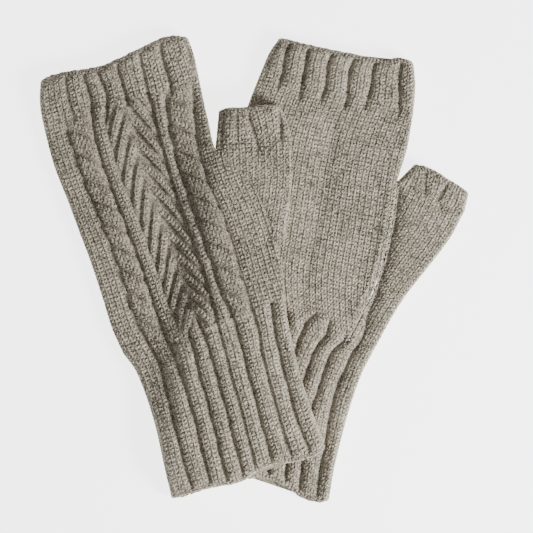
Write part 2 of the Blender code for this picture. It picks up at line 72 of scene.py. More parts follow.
@dataclass(frozen=True)
class ClothSizes:
    """Sizes of the knitted cloth, in millimetres."""

    wall: float = 2.0              # thickness of the plain cloth
    inner_gap: float = 0.6         # hollow between the upper and lower cloth of a flattened panel
    seam: float = 0.3              # gap between the two folds of a flattened panel
    slit: float = 0.06             # gap between pieces sewn edge to edge
    end_round: float = 2.4         # radius of the corners at a hem or band edge
    bow_fade: float = 16.0         # length over which the waves of a hem die out
    fold_angle: float = 90.0       # degrees of a folded edge
    seam_fade: float = 6.0         # length over which a fold turns into a seam
    rim: float = 1.0               # smooth rim of a free edge, below its ribs
    rim_fade: float = 3.2          # length over which ribs rise from that rim
    yarn_bed: float = 0.02         # depth of the wall's outer face under the face of the cloth
    rim_inset: float = 0.55        # distance from a free end to the wall's last row of points
    fold_fade: float = 1.3         # share of a fold's radius over which the relief dies out round it
    mouth: float = 0.9             # how far the upper run of a mouth stands open at its middle
    mouth_reach: float = 9.0       # length over which such a mouth closes
    inner_rows: float = 6.0        # distances between the rows and columns of the wall's plain inner face
    inner_columns: float = 5.0
    sharp: float = 60.0            # degrees between two faces of the wall from which their edge looks sharp

    @property
    def fold(self) -> float:
        """Outer radius of a folded panel edge."""
        return self.wall + self.inner_gap / 2

    @property
    def half(self) -> float:
        """Half the thickness of a flattened mitten."""
        return self.fold + self.seam / 2


@dataclass(frozen=True)
class StitchSizes:
    """Sizes of one stitch of the yarn, in millimetres and degrees."""

    wale: float = 3.1              # width of a stitch
    course: float = 1.94           # height of a stitch
    leg_length: float = 3.3
    leg_width: float = 1.75
    leg_height: float = 0.54
    leg_lean: float = 27.0         # lean of each leg from the line of its wale
    leg_dip: float = 4.0           # slope of each leg into the cloth at its upper end
    sink: float = 0.13             # depth of a leg's middle line under the face of the cloth
    clear: float = 1.3             # width left free of stitches in a groove
    edge_clear: float = 1.9        # width left free for the chains of a bound-off edge
    side_margin: float = 0.1       # least distances of a stitch's middle from the sides and ends of a piece
    end_margin: float = 0.3
    narrowest: float = 1.7         # narrowest and widest wale on a strand of a cable
    widest: float = 3.4
    line_step: float = 0.5         # distance on each side over which the line of a strand is read
    slope_step: float = 0.35       # distance on each side over which the slope of the cloth is read
    spare: tuple[float, float, float] = (1.15, 1.5, 1.1)   # how far a leg's arch and unevenness may swell it
    floor_clear: float = 0.05


@dataclass(frozen=True)
class Unevenness:
    """How far the stitches stray from an even grid. Shares are of the usual value."""

    shift: float = 0.1             # in millimetres, in each direction
    turn: float = 6.0              # in degrees
    rim_turn: float = 0.2          # share of that turn on the rows that lie over a rim
    size: float = 0.08
    shade: float = 0.07
    shade_least: float = 0.8
    shade_most: float = 1.2


@dataclass(frozen=True)
class GrooveSizes:
    """Cross-section of every groove and crease and its slow and quick waves, in millimetres and radians."""

    fold: float = 0.65             # half width of the sharp fold at its bottom
    fold_share: float = 0.3        # share of its depth in that fold
    fold_power: float = 1.8
    flank: float = 2.2             # half width of its soft flanks
    flank_share: float = 0.7
    flank_power: float = 1.7
    sway: float = 0.2              # how far it wanders sideways in slow waves
    sway_pace: float = 0.29        # radians of such a wave in a millimetre
    ripple: float = 0.08           # how far it wanders sideways in quick waves
    ripple_pace: float = 0.83
    swell: float = 0.1             # share by which its depth varies
    swell_pace: float = 0.41
    set_off: float = 7.0           # radians for each millimetre across, so that no two grooves wave alike


@dataclass(frozen=True)
class StrandSizes:
    """Shape of the strands of ropes and chevrons. Shares are of a column's width or of a gutter's depth."""

    curve: float = 0.5             # share of an S in the path of a rope's strand; the rest is straight
    rise: float = 2.05             # gutters passed from a chevron's tip to its sides
    tip_round: float = 0.012
    tip_level: float = 0.11        # what the round tip would add to the rise
    rope_cut: float = 0.75         # the sharp cut between a rope's strands
    rope_cut_power: int = 7
    rope_round: float = 0.25       # the round backs of its strands
    rope_loss: float = 0.4         # what a rope's gutters lose towards the right
    rope_loss_from: float = 0.35
    rope_loss_over: float = 0.6
    chevron_cut: float = 0.7
    chevron_cut_from: float = 0.3
    chevron_cut_over: float = 0.6
    chevron_round: float = 0.3
    left_arm: float = 0.6          # depth of the gutters of a chevron's left arm
    right_gain: float = 0.6        # what those of its right arm have more
    gain_from: float = 0.4
    gain_over: float = 0.3
    start: float = 76.0            # distances from the hem between which there are gutters
    start_run: float = 18.0
    end: float = 200.0
    end_run: float = 13.0
    panel_start: float = 70.0      # distances from the hem between which the whole panel stands higher
    panel_end: float = 206.0
    panel_run: float = 8.0
    panel_side: float = 3.0        # width over which it rises at its sides
    pitch: float = 12.2            # usual distance between gutters


CLOTH = ClothSizes()
STITCH = StitchSizes()
UNEVEN = Unevenness()
GROOVE = GrooveSizes()
STRAND = StrandSizes()


@dataclass(frozen=True)
class Course:
    """One course of a piece: its distance from the hem, and its left and right edges in plan."""

    name: str
    along: float
    left: tuple[float, float]
    right: tuple[float, float]


@dataclass(frozen=True)
class Wave:
    """How far a free edge reaches past its course at a share of its width."""

    across: float
    offset: float


@dataclass(frozen=True)
class Groove:
    """A groove or crease, through places given as distances along a piece and across from its left edge."""

    places: tuple[tuple[float, float], ...]
    start: float = -20.0           # distances along between which it has its full depth
    end: float = 260.0
    depth: float = 2.2             # below 0 for a ridge
    breadth: float = 1.0           # as a multiple of the usual groove between two ribs
    fade: float = 6.0              # length over which it dies out beyond its ends

    def across(self, along: Array) -> Array:
        """Distance across at distances along the piece."""
        knots, values = np.array(self.places).T
        return through(knots, values[:, None], np.clip(along, knots[0] - 3.0, knots[-1] + 3.0))[:, 0]

    def sunk(self, across: Array, along: Array) -> Array:
        """How far the groove lowers the face of the cloth.

        Args:
            across: Distances from the left edge.
            along: Distances from the hem.

        Returns:
            The depth at each place, which is that of a sharp fold between soft flanks.
        """
        turn = GROOVE.set_off * self.places[0][1]
        middle = (self.across(along) + GROOVE.sway * np.sin(GROOVE.sway_pace * along + turn)
                  + GROOVE.ripple * np.sin(GROOVE.ripple_pace * along + 2 * turn))
        away = np.abs(across - middle) / self.breadth
        profile = (GROOVE.fold_share * np.exp(-(away / GROOVE.fold) ** GROOVE.fold_power)
                   + GROOVE.flank_share * np.exp(-(away / GROOVE.flank) ** GROOVE.flank_power))
        ends = smooth(1 + (along - self.start) / self.fade) * smooth(1 + (self.end - along) / self.fade)
        return self.depth * profile * ends * (1 + GROOVE.swell * np.sin(GROOVE.swell_pace * along + 3 * turn))


@dataclass(frozen=True)
class Level:
    """A stretch of a mitten on which the cloth stands higher, as ribbing does."""

    height: float
    start: float
    end: float
    run: float                     # length over which it rises or falls at its ends

    def raised(self, along: Array) -> Array:
        """Rise at distances along the piece."""
        return (self.height * smooth((along - self.start) / self.run + 0.5)
                * smooth((self.end - along) / self.run + 0.5))


class ColumnKind(Enum):
    """What is knitted in a column of the cable panel."""

    ROPE = "rope"
    CHEVRON = "chevron"


@dataclass(frozen=True)
class Column:
    """One column of crossing strands in the cable panel, between two of its grooves."""

    kind: ColumnKind
    left: Groove
    right: Groove
    crossings: tuple[float, ...]   # distances from the hem of the gutters between strands
    depth: float                   # of those gutters
    reach: float = 5.0             # number of gutters that are counted on past the first and the last
    step: float = 0.05             # step of that count

    def bend(self, share: Array) -> Array:
        """Path of the gutters across the column; a rope's strands steepen towards its sides.

        Args:
            share: Places as shares of the column's width.

        Returns:
            The number of gutters passed at each place.
        """
        if self.kind is ColumnKind.ROPE:
            curved = 0.5 + np.arcsin(np.clip(2 * share - 1, -1, 1)) / math.pi
            return STRAND.curve * curved + (1 - STRAND.curve) * share
        return STRAND.rise * (np.sqrt((2 * share - 1) ** 2 + STRAND.tip_round) - STRAND.tip_level)

    def along_of(self, phase: Array) -> Array:
        """Distance from the hem at a number of gutters above the first."""
        values = np.array(self.crossings)
        return through(np.arange(len(values), dtype=float), values[:, None], phase)[:, 0]

    def phase_of(self, along: Array) -> Array:
        """Number of gutters above the first at distances from the hem."""
        phases = np.arange(-self.reach, len(self.crossings) - 1 + self.reach, self.step)
        return np.interp(along, self.along_of(phases), phases)

    def sunk(self, across: Array, along: Array) -> Array:
        """How far the gutters between strands lower the face of the cloth.

        Args:
            across: Distances from the left edge.
            along: Distances from the hem.

        Returns:
            The depth at each place, which is 0 outside the column.
        """
        left, right = self.left.across(along), self.right.across(along)
        place = (across - left) / (right - left)
        share = np.clip(place, 0, 1)
        phase = self.phase_of(along) + self.bend(share)
        near = np.abs(2 * (phase - np.floor(phase)) - 1)
        if self.kind is ColumnKind.ROPE:
            gutter = STRAND.rope_cut * near ** STRAND.rope_cut_power + STRAND.rope_round * near ** 2
            loss = smooth((share - STRAND.rope_loss_from) / STRAND.rope_loss_over)
            gutter = gutter * (1 - STRAND.rope_loss * loss)
        else:
            cut = smooth((near - STRAND.chevron_cut_from) / STRAND.chevron_cut_over)
            gain = smooth((share - STRAND.gain_from) / STRAND.gain_over)
            gutter = STRAND.chevron_cut * cut + STRAND.chevron_round * near ** 2
            gutter = gutter * (STRAND.left_arm + STRAND.right_gain * gain)
        ends = (smooth((along - STRAND.start) / STRAND.start_run)
                * smooth((STRAND.end - along) / STRAND.end_run))
        return np.where((place > 0) & (place < 1), self.depth * gutter * ends, 0.0)


CUFF_TOP = 78.0                # distance from the hem to the top of the cuff
BAND_FOOT = 196.0              # distance from the hem to the foot of the finger band
THUMB_SEAM_LOW = -8.0          # where a thumb's seam starts, below its base so that it is whole there

LEFT_CUFF = (
    Course("hem", 0.0, (-41.1, -114.8), (35.9, -89.3)),
    Course("cuff_low", 12.0, (-44.0, -102.4), (31.6, -78.0)),
    Course("cuff_mid", 38.0, (-49.9, -76.3), (23.3, -53.1)),
    Course("cuff_high", 65.0, (-58.6, -52.0), (17.4, -28.0)),
    Course("cuff_top", CUFF_TOP, (-65.5, -41.9), (15.4, -15.3)),
)
LEFT_HAND = (
    LEFT_CUFF[-1],
    Course("heel", 92.0, (-71.3, -28.9), (14.2, 0.3)),
    Course("gusset", 105.0, (-75.5, -15.3), (11.6, 13.3)),
    Course("palm", 125.0, (-82.0, 4.4), (3.9, 31.9)),
    Course("crotch_low", 142.0, (-87.9, 20.0), (-4.1, 47.0)),
    Course("crotch", 158.0, (-93.1, 34.1), (-18.3, 58.7)),
    Course("knuckle", 175.0, (-99.8, 51.2), (-23.1, 75.0)),
    Course("band_foot", BAND_FOOT, (-105.2, 71.4), (-27.6, 95.8)),
    Course("band_mid", 208.0, (-107.3, 83.8), (-30.2, 107.7)),
    Course("band_top", 219.0, (-106.7, 96.3), (-33.7, 117.3)),
)
LEFT_THUMB = (
    Course("base", 0.0, (11.6, 13.5), (15.2, 12.0)),
    Course("gore", 13.0, (7.3, 24.6), (16.2, 23.6)),
    Course("wedge", 20.0, (4.4, 30.7), (17.3, 30.3)),
    Course("swell", 27.0, (1.65, 37.0), (18.3, 37.0)),
    Course("rise", 34.0, (-1.5, 43.3), (18.9, 43.35)),
    Course("thenar", 41.0, (-6.25, 49.1), (19.3, 49.6)),
    Course("web", 47.0, (-12.6, 53.6), (19.2, 55.0)),
    Course("crotch", 54.0, (-18.7, 59.2), (18.8, 61.5)),
    Course("band_foot", 61.0, (-18.6, 67.0), (18.0, 69.0)),
    Course("tip", 75.0, (-17.4, 80.3), (12.9, 82.5)),
)
RIGHT_CUFF = (
    Course("hem", 0.0, (-34.5, -91.0), (37.4, -115.6)),
    Course("cuff_low", 18.0, (-31.2, -73.2), (40.6, -97.5)),
    Course("cuff_mid", 45.0, (-24.6, -47.5), (47.3, -71.5)),
    Course("cuff_high", 66.0, (-17.8, -27.5), (54.0, -52.0)),
    Course("cuff_top", CUFF_TOP, (-13.6, -15.8), (59.5, -41.3)),
)
RIGHT_HAND = (
    Course("cuff_top", CUFF_TOP, (-13.6, -15.8), (47.0, -37.0)),
    Course("heel", 92.0, (-16.0, -3.0), (53.7, -22.3)),
    Course("gusset", 105.0, (-16.4, 9.0), (59.8, -10.2)),
    Course("palm", 125.0, (-13.8, 27.0), (65.9, 9.7)),
    Course("crotch_low", 142.0, (-11.0, 44.0), (69.5, 27.2)),
    Course("crotch", 158.0, (-8.6, 60.0), (71.6, 43.7)),
    Course("knuckle", 175.0, (-4.8, 77.0), (76.6, 60.8)),
    Course("band_foot", BAND_FOOT, (3.0, 97.5), (80.0, 81.5)),
    Course("band_mid", 208.0, (7.7, 108.5), (80.7, 93.5)),
    Course("band_top", 219.0, (13.3, 116.5), (79.7, 103.5)),
)
RIGHT_THUMB = (
    Course("base", 0.0, (47.0, -37.0), (59.5, -41.3)),
    Course("heel", 15.0, (53.7, -22.3), (68.4, -25.0)),
    Course("gusset", 30.0, (59.8, -10.2), (76.4, -12.4)),
    Course("swell", 50.0, (65.9, 9.7), (88.6, 3.0)),
    Course("thenar", 68.0, (69.5, 27.2), (98.4, 16.2)),
    Course("crotch", 85.0, (71.6, 43.75), (105.2, 29.0)),
    Course("band_foot", 86.0, (72.4, 44.6), (105.6, 29.8)),
    Course("tip", 97.5, (81.2, 53.3), (107.5, 38.9)),
)

LEFT_HEM = (Wave(0.0, 0.4), Wave(0.24, 0.5), Wave(0.42, 2.2), Wave(0.55, 0.1), Wave(0.68, -0.5),
            Wave(0.81, 1.5), Wave(0.95, 1.4), Wave(1.0, 0.2))
LEFT_TOP = (Wave(0.0, -0.6), Wave(0.15, -0.8), Wave(0.42, -3.0), Wave(0.67, -0.1), Wave(0.86, 2.0),
            Wave(1.0, -0.2))
RIGHT_HEM = (Wave(0.0, 0.0), Wave(0.2, 0.8), Wave(0.43, 2.6), Wave(0.52, 0.4), Wave(0.62, -0.3),
             Wave(0.72, 0.4), Wave(0.81, 2.8), Wave(0.93, 2.4), Wave(1.0, 0.9))
RIGHT_TOP = (Wave(0.0, 0.0), Wave(0.11, -1.2), Wave(0.32, -2.0), Wave(0.5, -2.0), Wave(0.8, -1.7),
             Wave(0.88, 0.9), Wave(1.0, 1.2))
LEFT_TIP = (Wave(0.0, -0.2), Wave(0.2, -0.1), Wave(0.5, -0.7), Wave(0.8, 0.1), Wave(1.0, 0.0))
RIGHT_TIP = (Wave(0.0, 0.0), Wave(0.3, 0.9), Wave(0.6, 0.3), Wave(1.0, 0.2))
STRAIGHT = (Wave(0.0, 0.0), Wave(1.0, 0.0))

RIB_LEVELS = (Level(1.1, -50.0, 77.0, 14.0), Level(1.1, 195.0, 300.0, 10.0))

OUTER = Groove(((2, 11.0), (22, 9.6), (41, 9.7), (57, 11.3), (68, 12.4), (78, 13.4), (91, 12.2), (125, 12.0),
                (142, 11.6), (160, 10.9), (172, 11.3), (187, 11.0)), end=189.0, depth=1.0)
OUTER_RIB = Groove(((2, 20.5), (22, 19.9), (41, 19.7), (57, 20.0), (68, 21.1), (76, 22.3), (91, 23.4),
                    (125, 22.8), (142, 22.6), (160, 22.5), (172, 23.3), (187, 23.7), (194, 25.2), (202, 25.7),
                    (207, 25.1), (213, 23.5)))
CHEVRONS_START = Groove(((81, 30.7), (91, 30.6), (125, 29.5), (142, 29.8), (160, 28.9), (172, 29.8),
                         (187, 30.4)), start=86.0, end=190.0, depth=0.9)
CHEVRONS_END = Groove(((2, 44.5), (22, 43.6), (42, 43.0), (57, 44.0), (68, 45.9), (76, 48.4), (90, 51.6),
                       (125, 51.2), (142, 51.4), (160, 52.5), (172, 54.0), (187, 54.7), (202, 54.4),
                       (207, 53.8), (215, 51.8)), depth=1.4)
INNER_RIB = Groove(((2, 53.5), (22, 52.1), (42, 51.7), (57, 52.8), (68, 54.7), (76, 57.0), (83, 57.3),
                    (90, 57.0), (125, 56.7), (142, 57.3), (160, 57.8), (172, 59.7), (182, 61.2), (192, 62.6)),
                   end=190.0)
INNER = Groove(((2, 63.0), (22, 61.1), (42, 60.5), (57, 62.0), (68, 64.7), (76, 67.3), (90, 69.2), (125, 69.8),
                (142, 69.0), (160, 69.8), (172, 72.6), (182, 74.9), (192, 76.6)), end=189.0, depth=1.6)
BACK_CUFF = (
    OUTER,
    OUTER_RIB,
    Groove(((2, 29.0), (22, 28.4), (42, 28.2), (57, 29.0), (68, 31.1), (76, 34.0)), end=76.0),
    Groove(((2, 37.5), (22, 36.6), (42, 36.2), (57, 37.0), (68, 38.4), (76, 40.3), (82, 41.2)), end=81.0),
    CHEVRONS_END,
    INNER_RIB,
    INNER,
    Groove(((2, 72.5), (22, 69.4), (42, 69.2), (57, 70.5), (68, 73.2), (76, 77.0)), end=76.0),
)
BACK_BAND = (
    Groove(((192, 14.6), (198, 15.4), (203, 14.8), (207, 14.6), (214, 13.1)), start=197.0, depth=1.2),
    OUTER_RIB,
    Groove(((187, 30.4), (193, 32.5), (202, 33.9), (207, 33.1), (214, 30.5)), start=192.0, depth=2.2),
    Groove(((199, 43.5), (207, 42.3), (214, 40.1)), start=198.0),
    CHEVRONS_END,
    Groove(((192, 65.8), (198, 66.6), (202, 66.2), (207, 65.3), (215, 62.9)), start=196.0),
    Groove(((192, 80.4), (197, 80.2), (207, 78.7), (215, 75.8)), start=196.0, depth=1.4),
)
BACK_CREASES = (
    replace(OUTER, end=76.0, depth=1.1),
    replace(CHEVRONS_END, start=80.0, end=192.0, depth=0.9, breadth=1.5),
    Groove(((84, 42.0), (187, 45.0)), start=104.0, end=178.0, depth=1.8, breadth=5.5, fade=18.0),
    Groove(((105, 86.5), (108, 87.5), (127, 89.0), (142, 87.0), (155, 82.0)), start=112.0, end=150.0, depth=0.6,
           breadth=2.4, fade=12.0),
)
PALM_CUFF = (
    Groove(((0, 8.6), (78, 8.3)), end=78.0),
    Groove(((0, 17.2), (78, 16.4)), end=79.0),
    Groove(((0, 25.8), (78, 25.0)), end=80.0),
    Groove(((0, 34.4), (50, 33.4), (78, 32.6)), end=82.0),
    Groove(((1, 43.3), (30, 41.6), (64, 40.5), (69, 40.5), (77, 40.9), (82, 43.2), (85, 46.3)), end=84.0),
    Groove(((1, 52.5), (25, 50.6), (49, 49.6), (66, 49.4), (71, 50.3), (76, 51.7), (82, 54.0)), end=82.0),
    Groove(((2, 60.1), (39, 57.6), (49, 57.7), (65, 57.7), (70, 57.7), (73, 58.6), (78, 61.7)), end=78.0,
           depth=2.1),
    Groove(((4, 69.2), (28, 68.3), (48, 66.5), (59, 66.5), (64, 67.0), (72, 67.5), (77, 68.9), (84, 72.7),
            (93, 75.3), (100, 78.1), (110, 81.2), (122, 82.1)), end=110.0, depth=2.1, breadth=1.15),
)
PALM_BAND = (
    Groove(((192, 2.3), (215, 2.0)), start=194.0, depth=1.0),
    Groove(((194, 10.7), (198, 10.3), (208, 8.0), (215, 6.6)), start=196.0),
    Groove(((192, 22.2), (199, 20.9), (209, 18.3), (215, 16.8)), start=192.0),
    Groove(((193, 33.4), (199, 32.5), (210, 29.5), (215, 28.2)), start=193.0),
    Groove(((194, 45.1), (200, 43.3), (211, 40.5), (215, 39.5)), start=192.0),
    Groove(((196, 55.4), (201, 54.7), (211, 51.4), (215, 50.2)), start=194.0),
    Groove(((194, 71.8), (202, 68.7), (212, 64.6), (216, 63.2)), start=194.0),
)
PALM_CREASES = (
    Groove(((76, 39.0), (96, 43.0), (132, 45.2), (167, 45.0), (202, 41.1)), start=96.0, end=166.0, depth=1.3,
           breadth=4.5, fade=26.0),
    Groove(((92, 69.3), (105, 75.2), (125, 78.2), (142, 78.8), (158, 78.6)), start=98.0, end=154.0, depth=-1.0,
           breadth=2.0, fade=14.0),
)
LEFT_THUMB_BAND = (
    Groove(((52, 2.8), (75, 2.2)), start=58.0, depth=1.2),
    Groove(((52, 10.4), (75, 8.8)), start=60.0, depth=0.7, breadth=1.3),
    Groove(((58, 19.7), (64, 17.4), (69, 15.3), (75, 13.6)), start=56.0, depth=1.7, breadth=1.2, fade=8.0),
    Groove(((60, 31.8), (68, 31.1), (75, 28.8)), start=60.0, depth=1.5),
)
RIGHT_THUMB_BAND = (
    Groove(((85, 14.5), (91, 9.9), (97, 5.3)), start=86.0, depth=0.8),
    Groove(((81, 23.9), (95, 19.2), (98, 18.2)), start=82.0, depth=1.1),
)
LEFT_THUMB_CREASES = (
    Groove(((13, 0.3), (27, 0.6), (41, 0.8), (54, 1.2)), start=18.0, end=50.0, depth=1.0, breadth=1.5,
           fade=12.0),
)
RIGHT_THUMB_CREASES = (
    Groove(((0, 4.6), (7, 5.1), (15, 3.4), (23, 2.4), (40, 1.6), (85, 1.4)), end=80.0, depth=2.1, breadth=1.5),
)

ROPE_CROSSINGS = (80.0, 94.5, 107.0, 118.5, 131.0, 144.0, 156.0, 168.0, 180.5, 193.5)
CHEVRON_TIPS = (84.5, 92.5, 100.8, 110.0, 120.8, 133.0, 146.0, 158.0, 169.2, 180.8, 192.8)
CABLE_COLUMNS = (
    Column(ColumnKind.ROPE, OUTER, OUTER_RIB, ROPE_CROSSINGS, 2.5),
    Column(ColumnKind.CHEVRON, CHEVRONS_START, CHEVRONS_END, CHEVRON_TIPS, 1.35),
    Column(ColumnKind.ROPE, INNER_RIB, INNER, ROPE_CROSSINGS, 2.2),
)


# ---------------------------------------------------------------- curves and plans

def smooth(share: Array | float) -> Array:
    """Ease a share from 0 to 1 with level ends."""
    share = np.clip(share, 0.0, 1.0)
    return share * share * (3.0 - 2.0 * share)


def through(knots: Array, values: Array, at: Array) -> Array:
    """Follow a smooth curve through knots, which runs on straight past its ends.

    Args:
        knots: Places of the knots, rising.
        values: A row of values for each knot.
        at: Places at which the curve is read.

    Returns:
        A row of values for each place.
    """
    count = len(knots)
    low = np.maximum(np.arange(count) - 1, 0)
    high = np.minimum(np.arange(count) + 1, count - 1)
    slopes = (values[high] - values[low]) / (knots[high] - knots[low])[:, None]
    i = np.clip(np.searchsorted(knots, at, side="right") - 1, 0, count - 2)
    span = (knots[i + 1] - knots[i])[:, None]
    u = np.clip((at - knots[i])[:, None] / span, 0.0, 1.0)
    value = (values[i] * (1 + 2 * u) * (1 - u) ** 2 + values[i + 1] * u * u * (3 - 2 * u)
             + span * (slopes[i] * u * (1 - u) ** 2 + slopes[i + 1] * u * u * (u - 1)))
    before = np.minimum(at - knots[0], 0.0)[:, None]
    after = np.maximum(at - knots[-1], 0.0)[:, None]
    return value + slopes[0] * before + slopes[-1] * after


def reach_of(waves: Sequence[Wave], share: Array) -> Array:
    """Read the waves of a free edge.

    Args:
        waves: Waves of the edge, from left to right.
        share: Places as shares of its width.

    Returns:
        The distance that the edge reaches past its course at each place.
    """
    knots = np.array([wave.across for wave in waves])
    offsets = np.array([[wave.offset] for wave in waves])
    return through(knots, offsets, np.clip(share, 0.0, 1.0))[:, 0]


class Outline:
    """The plan of a run of courses."""

    def __init__(self, courses: Sequence[Course]) -> None:
        """Keep the courses as arrays."""
        self.knots = np.array([course.along for course in courses])
        self.sides = np.array([[*course.left, *course.right] for course in courses])

    def edges(self, along: Array) -> tuple[Array, Array]:
        """Left and right edge points at distances along the piece."""
        both = through(self.knots, self.sides, along)
        return both[:, :2], both[:, 2:]

    def width(self, along: Array) -> Array:
        """Width at distances along the piece."""
        left, right = self.edges(along)
        return np.linalg.norm(right - left, axis=1)

    def polygon(self, steps: int = 24) -> Array:
        """Closed plan outline, with a number of steps along each side."""
        left, right = self.edges(np.linspace(self.knots[0], self.knots[-1], steps + 1))
        return np.concatenate([left, right[::-1]])


def distance_outside(points: Array, polygon: Array) -> Array:
    """Distance from plan points to a polygon.

    Args:
        points: Plan points.
        polygon: Corners of the polygon, in order.

    Returns:
        The distance of each point, or 0 inside.
    """
    side = np.roll(polygon, -1, axis=0) - polygon
    away = points[:, None, :] - polygon[None]
    u = np.clip((away * side).sum(-1) / np.maximum((side ** 2).sum(-1), 1e-9), 0.0, 1.0)
    nearest = np.linalg.norm(away - u[..., None] * side, axis=-1).min(1)
    upper = polygon[None, :, 1] > points[:, None, 1]
    spans = upper != np.roll(upper, -1, axis=1)
    rise = np.where(side[:, 1] == 0, 1.0, side[:, 1])
    left_of = away[..., 0] < side[:, 0] * away[..., 1] / rise
    return np.where((spans & left_of).sum(1) % 2 == 1, 0.0, nearest)


@dataclass
class Drape:
    """Height of the upper mitten's underside: on the lower mitten, and down to the floor beside it."""

    rib_height: float = 1.2
    clearance: float = 0.3
    run: float = 26.0              # distance over which the upper mitten comes down
    margin: float = 2.5            # distance round the lower mitten at which that descent starts
    rib_fade: float = 8.0
    lower: list[Array] = field(default_factory=lambda: [
        Outline(courses).polygon() for courses in (RIGHT_CUFF, RIGHT_HAND, RIGHT_THUMB)])

    def __call__(self, points: Array) -> Array:
        """Read the drape.

        Args:
            points: Plan points.

        Returns:
            The height of the underside over each point.
        """
        reach = np.min([distance_outside(points, polygon) for polygon in self.lower], axis=0)
        start, end = np.array(RIGHT_CUFF[-1].left), np.array(RIGHT_CUFF[-1].right)
        line = (end - start) / np.linalg.norm(end - start)
        above_cuff = (points - start) @ np.array([-line[1], line[0]])
        top = 2 * CLOTH.half + self.rib_height * smooth(1.0 - above_cuff / self.rib_fade) + self.clearance
        return top * smooth(1.0 - (reach - self.margin) / self.run)


def on_floor(points: Array) -> Array:
    """Height of the lower mitten's underside over plan points."""
    return np.zeros(len(points))


# ---------------------------------------------------------------- relief

@dataclass(frozen=True)
class Relief:
    """The form of one face of a mitten or thumb, which runs on from piece to piece."""

    cuff: tuple[Groove, ...] = ()          # grooves that bound the ribs of the cuff
    band: tuple[Groove, ...] = ()          # grooves that bound the ribs of the band
    creases: tuple[Groove, ...] = ()
    levels: tuple[Level, ...] = ()
    columns: tuple[Column, ...] = ()       # of the cable panel
    panel_height: float = 1.2
    share: float = 1.0                     # share of the grooves' depth that is left

    def pressed(self) -> Relief:
        """The same pattern lying face down: its crowns are level, and only its grooves are drawn in."""
        return replace(self, levels=(), panel_height=0.0, share=0.6)

    def raised(self, across: Array, along: Array) -> Array:
        """Rise of the cloth's face over its plain level.

        Args:
            across: Distances from the left edge.
            along: Distances from the hem.

        Returns:
            The rise at each place.
        """
        total = np.zeros(len(across))
        for level in self.levels:
            total = np.maximum(total, level.raised(along))
        if self.columns:
            first, last = self.columns[0].left.across(along), self.columns[-1].right.across(along)
            inside = (smooth((across - first) / STRAND.panel_side + 0.5)
                      * smooth((last - across) / STRAND.panel_side + 0.5))
            length = (smooth((along - STRAND.panel_start) / STRAND.panel_run)
                      * smooth((STRAND.panel_end - along) / STRAND.panel_run))
            total = np.maximum(total, self.panel_height * inside * length)
        for part in dict.fromkeys((*self.cuff, *self.band, *self.creases, *self.columns)):
            total = total - self.share * part.sunk(across, along)
        return total


BACK = Relief(BACK_CUFF, BACK_BAND, (*BACK_CREASES, CHEVRONS_START), RIB_LEVELS, CABLE_COLUMNS)
PALM = Relief(PALM_CUFF, PALM_BAND, PALM_CREASES, RIB_LEVELS)
LEFT_THUMB_RELIEF = Relief(band=LEFT_THUMB_BAND, creases=LEFT_THUMB_CREASES,
                           levels=(Level(0.6, 60.0, 200.0, 6.0),))
RIGHT_THUMB_RELIEF = Relief(band=RIGHT_THUMB_BAND, creases=RIGHT_THUMB_CREASES,
                            levels=(Level(0.6, 86.0, 200.0, 6.0), Level(1.1, -50.0, -1.0, 14.0)))


# ---------------------------------------------------------------- cloth

class Side(Enum):
    """The run of cloth of a flattened piece."""

    UPPER = 1.0
    LOWER = -1.0


@dataclass(frozen=True)
class ThumbSeam:
    """The stretch of a piece that is sewn to its thumb or hand."""

    on_right: bool
    low: float
    high: float
    roll: float                    # degrees that the sewn edge rolls down


